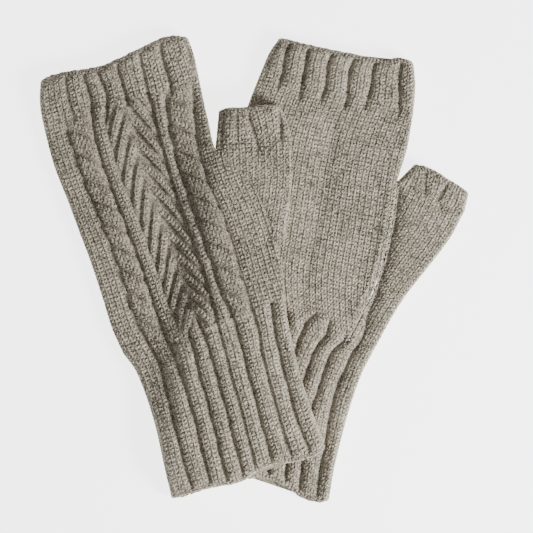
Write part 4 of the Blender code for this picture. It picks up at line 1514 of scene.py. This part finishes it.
class Wall:
    """A closed wall of cloth between an outer and an inner grid of points."""

    def __init__(self) -> None:
        """Start with no points."""
        self.points: list[Array] = []
        self.count = 0
        self.faces: list[tuple[int, ...]] = []

    def grid(self, rows: Array, ring: bool) -> Array:
        """Add a grid of points with its faces.

        Args:
            rows: Points by row and column.
            ring: Whether the last column joins the first.

        Returns:
            The number of each point, by row and column.
        """
        height, width = rows.shape[:2]
        numbers = self.count + np.arange(height * width).reshape(height, width)
        self.points.append(rows.reshape(-1, 3))
        self.count += height * width
        wrapped = np.concatenate([numbers, numbers[:, :1]], axis=1) if ring else numbers
        quads = np.stack([wrapped[:-1, :-1], wrapped[:-1, 1:], wrapped[1:, 1:], wrapped[1:, :-1]], axis=-1)
        self.faces += [tuple(quad) for quad in quads.reshape(-1, 4).tolist()]
        return wrapped

    def zip(self, first: Array, second: Array) -> None:
        """Join two open rows of points with triangles.

        Args:
            first: Numbers of the points of one row.
            second: Numbers of the points of the other, which may be more or fewer.
        """
        a, b = first.tolist(), second.tolist()
        i = j = 0
        while i < len(a) - 1 or j < len(b) - 1:
            first_next = (i + 1) / max(len(a) - 1, 1)
            second_next = (j + 1) / max(len(b) - 1, 1)
            if j == len(b) - 1 or (i < len(a) - 1 and first_next <= second_next):
                self.faces.append((a[i], a[i + 1], b[j]))
                i += 1
            else:
                self.faces.append((a[i], b[j + 1], b[j]))
                j += 1

    def close(self, outer: Array, inner: Array, ring: bool) -> None:
        """Join the outer and inner grids round their rims.

        Args:
            outer: Numbers of the outer grid's points.
            inner: Numbers of the inner grid's points.
            ring: Whether the grids' last columns join their first.
        """
        self.zip(outer[0], inner[0])
        self.zip(outer[-1], inner[-1])
        if not ring:
            self.zip(outer[:, 0], inner[:, 0])
            self.zip(outer[:, -1], inner[:, -1])

    def make(self, name: str, wool: bpy.types.Material) -> bpy.types.Object:
        """Turn the wall into an object with its faces outwards.

        Args:
            name: Name of the new piece.
            wool: Its material.

        Returns:
            The piece.
        """
        mesh = bpy.data.meshes.new(name)
        mesh.from_pydata(to_metres(np.concatenate(self.points)).tolist(), [], self.faces)
        mesh.validate()
        thing = bpy.data.objects.new(name, mesh)
        bpy.context.scene.collection.objects.link(thing)
        shape = bmesh.new()
        shape.from_mesh(mesh)
        bmesh.ops.recalc_face_normals(shape, faces=shape.faces)
        shape.to_mesh(mesh)
        shape.free()
        mesh.shade_smooth()
        mesh.set_sharp_from_angle(angle=math.radians(CLOTH.sharp))
        mesh.materials.append(wool)
        return thing


# ---------------------------------------------------------------- finishes

Colour = tuple[float, float, float]


@dataclass(frozen=True)
class Fleck:
    """Changes of tone of one size in melange wool."""

    size: float                    # in metres
    detail: float                  # octaves of finer changes in it
    weight: float                  # its share of the whole change of tone


@dataclass(frozen=True)
class WoolFinish:
    """Melange wool: dark and pale fibres spun into one yarn. Colours are linear, sizes in metres."""

    name: str
    dark: Colour
    pale: Colour
    flecks: tuple[Fleck, ...] = (Fleck(0.0008, 2.0, 0.74), Fleck(0.0032, 1.0, 0.16), Fleck(0.03, 1.0, 0.10))
    darkest: float = 0.4           # mixes of the flecks at which the wool is quite dark and quite pale
    palest: float = 0.6
    plies: float = 2.0             # number of plies round a leg of a stitch
    ply_turns: float = 2.0         # turns of the plies on one leg of a stitch
    ply_bump: float = 0.4          # shares of the plies and of the finest flecks in the yarn's fine bump
    fibre_bump: float = 0.6
    bump: float = 0.0005           # height of that bump
    relief: float = 0.5            # strength of that bump
    roughness: float = 0.93
    shine: float = 0.18
    fuzz: float = 0.35             # sheen of the loose fibres
    fuzz_roughness: float = 0.55
    stitched: bool = True

    def make(self) -> bpy.types.Material:
        """Build the material.

        Returns:
            The new material.
        """
        material = bpy.data.materials.new(self.name)
        material.use_nodes = True
        tree = material.node_tree
        place = add_node(tree, "ShaderNodeTexCoord").outputs["Object"]
        noises = [add_node(tree, "ShaderNodeTexNoise", Vector=place, Scale=1 / fleck.size,
                           Detail=fleck.detail).outputs["Fac"] for fleck in self.flecks]
        mix = add_sum(tree, [(noise, fleck.weight) for noise, fleck in zip(noises, self.flecks)])
        spread = add_node(tree, "ShaderNodeMapRange", Value=mix, From_Min=self.darkest, From_Max=self.palest)
        colour = add_node(tree, "ShaderNodeMix", {"data_type": "RGBA"})
        plug(tree, {colour.inputs[0]: spread.outputs[0], colour.inputs[6]: (*self.dark, 1.0),
                    colour.inputs[7]: (*self.pale, 1.0)})
        result = colour.outputs[2]
        height = noises[0]
        if self.stitched:
            shade = add_node(tree, "ShaderNodeAttribute", {"attribute_name": "shade"}).outputs["Fac"]
            tone = add_node(tree, "ShaderNodeVectorMath", {"operation": "SCALE"}, Scale=shade)
            plug(tree, {tone.inputs[0]: result})
            result = tone.outputs[0]
            height = add_sum(tree, [(height, self.fibre_bump), (self._plies(tree), self.ply_bump)])
        bump = add_node(tree, "ShaderNodeBump", Strength=self.relief, Distance=self.bump, Height=height)
        values = {"Roughness": self.roughness, "Specular IOR Level": self.shine, "Sheen Weight": self.fuzz,
                  "Sheen Roughness": self.fuzz_roughness, "Sheen Tint": (*self.pale, 1.0),
                  "Base Color": result, "Normal": bump.outputs[0]}
        shader = tree.nodes["Principled BSDF"]
        plug(tree, {shader.inputs[name]: value for name, value in values.items()})
        return material

    def _plies(self, tree: bpy.types.NodeTree) -> bpy.types.NodeSocket:
        """Make the slanting ridges of the plies round a leg of yarn.

        Args:
            tree: The material's tree.

        Returns:
            The socket of their height, from -1 to 1.
        """
        uv = add_node(tree, "ShaderNodeUVMap", {"uv_map": "Leg"}).outputs[0]
        parts = add_node(tree, "ShaderNodeSeparateXYZ", Vector=uv).outputs
        slant = add_sum(tree, [(parts[0], self.plies), (parts[1], self.ply_turns)])
        return add_math(tree, "SINE", add_math(tree, "MULTIPLY", slant, 2 * math.pi))


@dataclass(frozen=True)
class FloorFinish:
    """Plain pale floor."""

    name: str = "pale_floor"
    colour: Colour = (0.92, 0.92, 0.92)
    roughness: float = 0.9
    glow: float = 3.4              # light of its own, as of a lit table under the pair

    def make(self) -> bpy.types.Material:
        """Build the material.

        Returns:
            The new material.
        """
        material = bpy.data.materials.new(self.name)
        material.use_nodes = True
        values = {"Base Color": (*self.colour, 1.0), "Roughness": self.roughness,
                  "Emission Color": (1.0, 1.0, 1.0, 1.0), "Emission Strength": self.glow}
        shader = material.node_tree.nodes["Principled BSDF"]
        plug(material.node_tree, {shader.inputs[name]: value for name, value in values.items()})
        return material


class Wool(Enum):
    """The wool of the pieces, as finishes of the yarn and of the wall under it; the wall's colours are darkened
    as painted shade.
    """

    RIB = WoolFinish("rib_wool_yarn", (0.104, 0.09, 0.067), (0.51, 0.459, 0.365))
    CABLE = WoolFinish("cable_wool_yarn", (0.095, 0.082, 0.061), (0.465, 0.418, 0.332))
    PLAIN = WoolFinish("plain_wool_yarn", (0.106, 0.092, 0.069), (0.52, 0.469, 0.374))

    @property
    def slot(self) -> str:
        """Name of the slot that matches this wool, after which the wall's finish is named."""
        return f"{self.name.lower()}_wool"

    def bed(self, shade: float = 0.88, fuzz: float = 0.1) -> WoolFinish:
        """Finish of the wall between the stitches, with painted shade: its colours are darker than the yarn's,
        for the shadow that falls between the legs.

        Args:
            shade: Its colours as a share of the yarn's, which is the painted shade.
            fuzz: Its sheen.

        Returns:
            The finish, which has no plies.
        """
        dark, pale = (tuple(shade * part for part in colour) for colour in (self.value.dark, self.value.pale))
        return replace(self.value, name=f"{self.slot}_bed", dark=dark, pale=pale, stitched=False, fuzz=fuzz)


# ---------------------------------------------------------------- knitted pieces

@dataclass(frozen=True)
class RunStyle:
    """How one run of a piece is knitted."""

    side: Side
    relief: Relief
    wales: Wales
    column_step: float             # distance between the wall's columns of points
    coarse: bool = False           # whether it is out of sight, so that its legs have few faces


@dataclass
class KnitPiece:
    """A knitted piece: its cloth, how its runs are knitted, and its wool."""

    name: str
    cloth: Cloth
    wool: Wool
    runs: tuple[RunStyle, ...]
    row_step: float                # distance between the wall's rows of points
    rests_on: tuple[str, ...]

    @property
    def is_thumb(self) -> bool:
        """Whether the two runs are one sheet, folded at its right edge."""
        return not self.cloth.tube and len(self.runs) == 2

    def _rows(self, step: float) -> Array:
        """Spread the wall's rows of points over the piece.

        Args:
            step: Usual distance between rows.

        Returns:
            The distance of each row from the hem.
        """
        low = self.cloth.start + (CLOTH.rim_inset if self.cloth.free[0] else 0.0)
        high = self.cloth.end - (CLOTH.rim_inset if self.cloth.free[1] else 0.0)
        return np.linspace(low, high, max(round((high - low) / step), 1) + 1)

    def _run_points(self, style: RunStyle, rows: Array, step: float, depth: float, raised: bool) -> Array:
        """Make the points of one run.

        Args:
            style: How the run is knitted.
            rows: Distances of the rows from the hem.
            step: Usual distance between columns.
            depth: Depth under the face of the cloth.
            raised: Whether the points follow the relief of the face.

        Returns:
            Points by row and column, from the left edge to the right edge.
        """
        low, high = self.cloth.span(rows)
        count = max(round(float((high - low).max()) / step), 4) + 1
        share = np.linspace(0, 1, count)
        arc = low[:, None] + (high - low)[:, None] * share[None]
        along = np.repeat(rows, count)
        relief = style.relief if raised else None
        return self.cloth.surface(arc.ravel(), along, style.side, depth, relief).reshape(len(rows), count, 3)

    def _section(self, rows: Array, step: float | None, depth: float, raised: bool) -> Array:
        """Make one grid of the whole piece: its single run, or its two runs joined at their folds.

        Args:
            rows: Distances of the rows from the hem.
            step: Usual distance between columns, or None for that of each run.
            depth: Depth under the face of the cloth.
            raised: Whether the points follow the relief of the face.

        Returns:
            Points by row and column.
        """
        grids = [self._run_points(style, rows, step or style.column_step, depth, raised) for style in self.runs]
        if len(grids) == 1:
            return grids[0]
        upper, lower = grids
        if self.is_thumb:
            return np.concatenate([upper, lower[:, ::-1]], axis=1)
        return np.concatenate([upper, lower[:, -2:0:-1]], axis=1)

    def make_wall(self) -> bpy.types.Object:
        """Make the wall of cloth under the stitches.

        Returns:
            The wall.
        """
        wall = Wall()
        ring = self.cloth.tube
        outer = wall.grid(self._section(self._rows(self.row_step), None, CLOTH.yarn_bed, True), ring)
        inner_rows = self._rows(CLOTH.inner_rows)
        inner = wall.grid(self._section(inner_rows, CLOTH.inner_columns, CLOTH.wall, False), ring)
        wall.close(outer, inner, ring)
        # the wall gets the yarn's wool with darker colours: painted shade between the stitches
        return wall.make(f"{self.name}_wool", self.wool.bed().make())

    def make_stitches(self, knitter: Knitter, seed: int) -> bpy.types.Object:
        """Make the stitches on every run of the piece.

        Args:
            knitter: Maker of the stitches.
            seed: Seed of their unevenness.

        Returns:
            The stitches.
        """
        rng = np.random.default_rng(seed)
        edges = [BoundEdge().legs(self.cloth, end == 0) for end in (0, 1) if self.cloth.free[end]]
        parts = []
        for style in self.runs:
            legs = Legs.join([style.wales.legs(self.cloth), *edges])
            parts.append(YarnLegs.on(self.cloth, legs, style.side, style.relief, style.coarse, rng))
        return knitter.make(f"{self.name}_stitches", YarnLegs.join(parts), self.wool.value.make(), seed)

    def build(self, knitter: Knitter, seed: int) -> None:
        """Args:
            knitter: Maker of the stitches.
            seed: Seed of its unevenness.
        """
        wall = self.make_wall()
        stitches = self.make_stitches(knitter, seed)
        for piece in (wall, stitches):
            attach(piece, "root")
            self.wool.slot
        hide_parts(self.name)
        width, length, area = self.cloth.flat_size(len(self.runs) == 2)
        triangles = [sum(len(p.vertices) - 2 for p in piece.data.polygons) for piece in (wall, stitches)]
        log.info("%s: wall %d and stitches %d triangles, cut %.0f x %.0f mm", self.name, *triangles,
                 width, length)


@dataclass
class Mitten:
    """One mitten: its plans, edges and reliefs, and how it lies."""

    side: str
    cuff: Sequence[Course]
    hand: Sequence[Course]
    thumb: Sequence[Course]
    height: Height
    hem: Sequence[Wave]
    top: Sequence[Wave]
    tip: Sequence[Wave]
    thumb_relief: Relief
    back_up: bool
    seam_low: float
    seam_roll: float
    seam_high: float = 158.0
    rests_on: tuple[str, ...] = ()

    def pieces(self) -> list[KnitPiece]:
        """All pieces of the mitten, from the cuff to the thumb band."""
        return [self.make_cuff(), *self.make_hand(), self.make_finger_band(), self.make_thumb(),
                self.make_thumb_band()]

    @property
    def reliefs(self) -> tuple[Relief, Relief]:
        """Reliefs of the upper and the lower face, of which one is the back and the other the palm."""
        return (BACK, PALM.pressed()) if self.back_up else (PALM, BACK.pressed())

    @staticmethod
    def ribbed(reliefs: Sequence[Relief], part: str) -> tuple[RunStyle, RunStyle]:
        """Make the upper and lower runs of a ribbed tube.

        Args:
            reliefs: Reliefs of the upper and the lower face.
            part: The field of a relief that holds the grooves between the ribs, cuff or band.

        Returns:
            The two runs.
        """
        upper, lower = (RibWales(grooves=getattr(relief, part)) for relief in reliefs)
        return (RunStyle(Side.UPPER, reliefs[0], upper, column_step=0.5),
                RunStyle(Side.LOWER, reliefs[1], lower, coarse=True, column_step=1.3))

    def _piece(self, part: str, cloth: Cloth, wool: Wool, runs: tuple[RunStyle, ...],
               row_step: float) -> KnitPiece:
        """One piece of this mitten."""
        return KnitPiece(f"{self.side}_{part}", cloth, wool, runs, row_step, self.rests_on)

    def _band(self, part: str, courses: Sequence[Course], start: float, wave: Sequence[Wave],
              reliefs: Sequence[Relief]) -> KnitPiece:
        """Make a ribbed band, whose mouth stands a little open.

        Args:
            part: Name of the piece without its side.
            courses: Courses that it lies on, up to the last one.
            start: Distance from the first of them to its foot.
            wave: Waves of its free edge.
            reliefs: Reliefs of its upper and lower face.

        Returns:
            The piece.
        """
        cloth = Cloth(Outline(courses), start, courses[-1].along, self.height, (STRAIGHT, wave), (False, True),
                      opening=CLOTH.mouth)
        return self._piece(part, cloth, Wool.RIB, self.ribbed(reliefs, "band"), row_step=1.2)

    def make_cuff(self) -> KnitPiece:
        """Make the ribbed cuff, whose hem stands a little open on the upper mitten.

        Returns:
            The piece.
        """
        cloth = Cloth(Outline(self.cuff), 0.0, CUFF_TOP, self.height, (self.hem, STRAIGHT), (True, False),
                      opening=CLOTH.mouth if self.back_up else 0.0)
        return self._piece("cuff", cloth, Wool.RIB, self.ribbed(self.reliefs, "cuff"), row_step=1.5)

    def make_hand(self) -> list[KnitPiece]:
        """Make the cable-knit back and the plain palm, of which one lies above the other.

        Returns:
            The two pieces.
        """
        seam = ThumbSeam(True, self.seam_low, self.seam_high, self.seam_roll)
        cloth = Cloth(Outline(self.hand), CUFF_TOP, BAND_FOOT, self.height, seam=seam, tube=False)
        upper, lower = self.reliefs
        if self.back_up:
            back = RunStyle(Side.UPPER, upper, CableWales(), column_step=0.5)
            palm = RunStyle(Side.LOWER, lower, Wales(), coarse=True, column_step=2.4)
        else:
            back = RunStyle(Side.LOWER, lower, CableWales(), coarse=True, column_step=1.0)
            palm = RunStyle(Side.UPPER, upper, Wales(), column_step=0.8)
        return [self._piece("back", cloth, Wool.CABLE, (back,), row_step=1.0 if self.back_up else 1.8),
                self._piece("palm", cloth, Wool.PLAIN, (palm,), row_step=1.8)]

    def make_finger_band(self) -> KnitPiece:
        """The ribbed band round the fingers."""
        return self._band("finger_band", self.hand, BAND_FOOT, self.top, self.reliefs)

    def make_thumb(self) -> KnitPiece:
        """Make the thumb with its gusset, whose wales run along its outer edge and end at the seam.

        Returns:
            The piece.
        """
        crotch, foot = self.thumb[-3].along, self.thumb[-2].along
        seam = ThumbSeam(False, THUMB_SEAM_LOW, crotch, self.seam_roll)
        cloth = Cloth(Outline(self.thumb), 0.0, foot, self.height, seam=seam, tube=False)
        wales = Wales(from_right=True)
        runs = (RunStyle(Side.UPPER, self.thumb_relief, wales, column_step=0.8),
                RunStyle(Side.LOWER, self.thumb_relief.pressed(), wales, coarse=True, column_step=2.4))
        return self._piece("thumb", cloth, Wool.PLAIN, runs, row_step=1.6)

    def make_thumb_band(self) -> KnitPiece:
        """The ribbed band round the thumb."""
        reliefs = (self.thumb_relief, self.thumb_relief.pressed())
        return self._band("thumb_band", self.thumb, self.thumb[-2].along, self.tip, reliefs)


# ---------------------------------------------------------------- studio

@dataclass(frozen=True)
class SoftLight:
    """A square soft box that faces the middle of the pair. Lengths are in metres, power in watts."""

    name: str
    place: tuple[float, float, float]
    size: float
    power: float

    def make(self, aim: Vector) -> None:
        """Hang the light.

        Args:
            aim: The point that it faces.
        """
        data = bpy.data.lights.new(self.name, "AREA")
        data.shape = "SQUARE"
        data.size = self.size
        data.energy = self.power
        light = bpy.data.objects.new(self.name, data)
        light.location = self.place
        light.rotation_mode = "QUATERNION"
        light.rotation_quaternion = (aim - Vector(self.place)).to_track_quat("-Z", "Y")
        bpy.context.scene.collection.objects.link(light)


@dataclass
class Studio:
    """Floor, lights and camera."""

    view_width: float = 0.2665             # width of the camera's view, in metres
    view_centre: tuple[float, float] = (0.006315, 0.00127)
    view_height: float = 0.006             # level at which that width is measured
    lens: float = 250.0                    # in millimetres, on a sensor 36 millimetres wide
    clip_end: float = 10.0
    floor_size: float = 3.0
    sky: float = 0.22
    lights: tuple[SoftLight, ...] = (
        SoftLight("key_light", (0.78, -0.4, 0.42), 0.35, 23.0),
        SoftLight("fill_light", (-0.4, 0.5, 0.9), 0.8, 1.5),
    )

    def make(self) -> None:
        """Set up the whole studio."""
        self._make_floor()
        self._make_camera()
        world = bpy.data.worlds.new("studio")
        world.use_nodes = True
        background = world.node_tree.nodes["Background"]
        background.inputs["Color"].default_value = (1.0, 1.0, 1.0, 1.0)
        background.inputs["Strength"].default_value = self.sky
        bpy.context.scene.world = world
        aim = Vector((*self.view_centre, 0.0))
        for light in self.lights:
            light.make(aim)

    def _make_floor(self) -> None:
        """A plain pale floor at the level that the pair rests on."""
        half = self.floor_size / 2
        mesh = bpy.data.meshes.new("floor")
        corners = [(-half, -half, 0), (half, -half, 0), (half, half, 0), (-half, half, 0)]
        mesh.from_pydata(corners, [], [(0, 1, 2, 3)])
        mesh.materials.append(FloorFinish().make())
        floor = bpy.data.objects.new("floor", mesh)
        bpy.context.scene.collection.objects.link(floor)

    def _make_camera(self) -> None:
        """A camera straight above the pair."""
        data = bpy.data.cameras.new("camera")
        data.lens = self.lens
        distance = self.view_width * self.lens / data.sensor_width
        data.clip_end = self.clip_end
        camera = bpy.data.objects.new("camera", data)
        camera.location = (*self.view_centre, self.view_height + distance)
        bpy.context.scene.collection.objects.link(camera)
        bpy.context.scene.camera = camera


def main() -> None:
    """Dress the pair and set up the studio."""
    logging.basicConfig(level=logging.INFO, format="%(name)s: %(message)s")
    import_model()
    under_left = ("right_palm", "right_cuff")
    right = Mitten("right", RIGHT_CUFF, RIGHT_HAND, RIGHT_THUMB, on_floor, RIGHT_HEM, RIGHT_TOP, RIGHT_TIP,
                   RIGHT_THUMB_RELIEF, back_up=False, seam_low=CUFF_TOP, seam_roll=38.0)
    left = Mitten("left", LEFT_CUFF, LEFT_HAND, LEFT_THUMB, Drape(), LEFT_HEM, LEFT_TOP, LEFT_TIP,
                  LEFT_THUMB_RELIEF, back_up=True, seam_low=105.0, seam_roll=2.0, rests_on=under_left)
    knitter = Knitter()
    for number, piece in enumerate(right.pieces() + left.pieces()):
        piece.build(knitter, number + 1)
    Studio().make()
    bpy.context.view_layer.update()


if __name__ == "__main__":
    main()
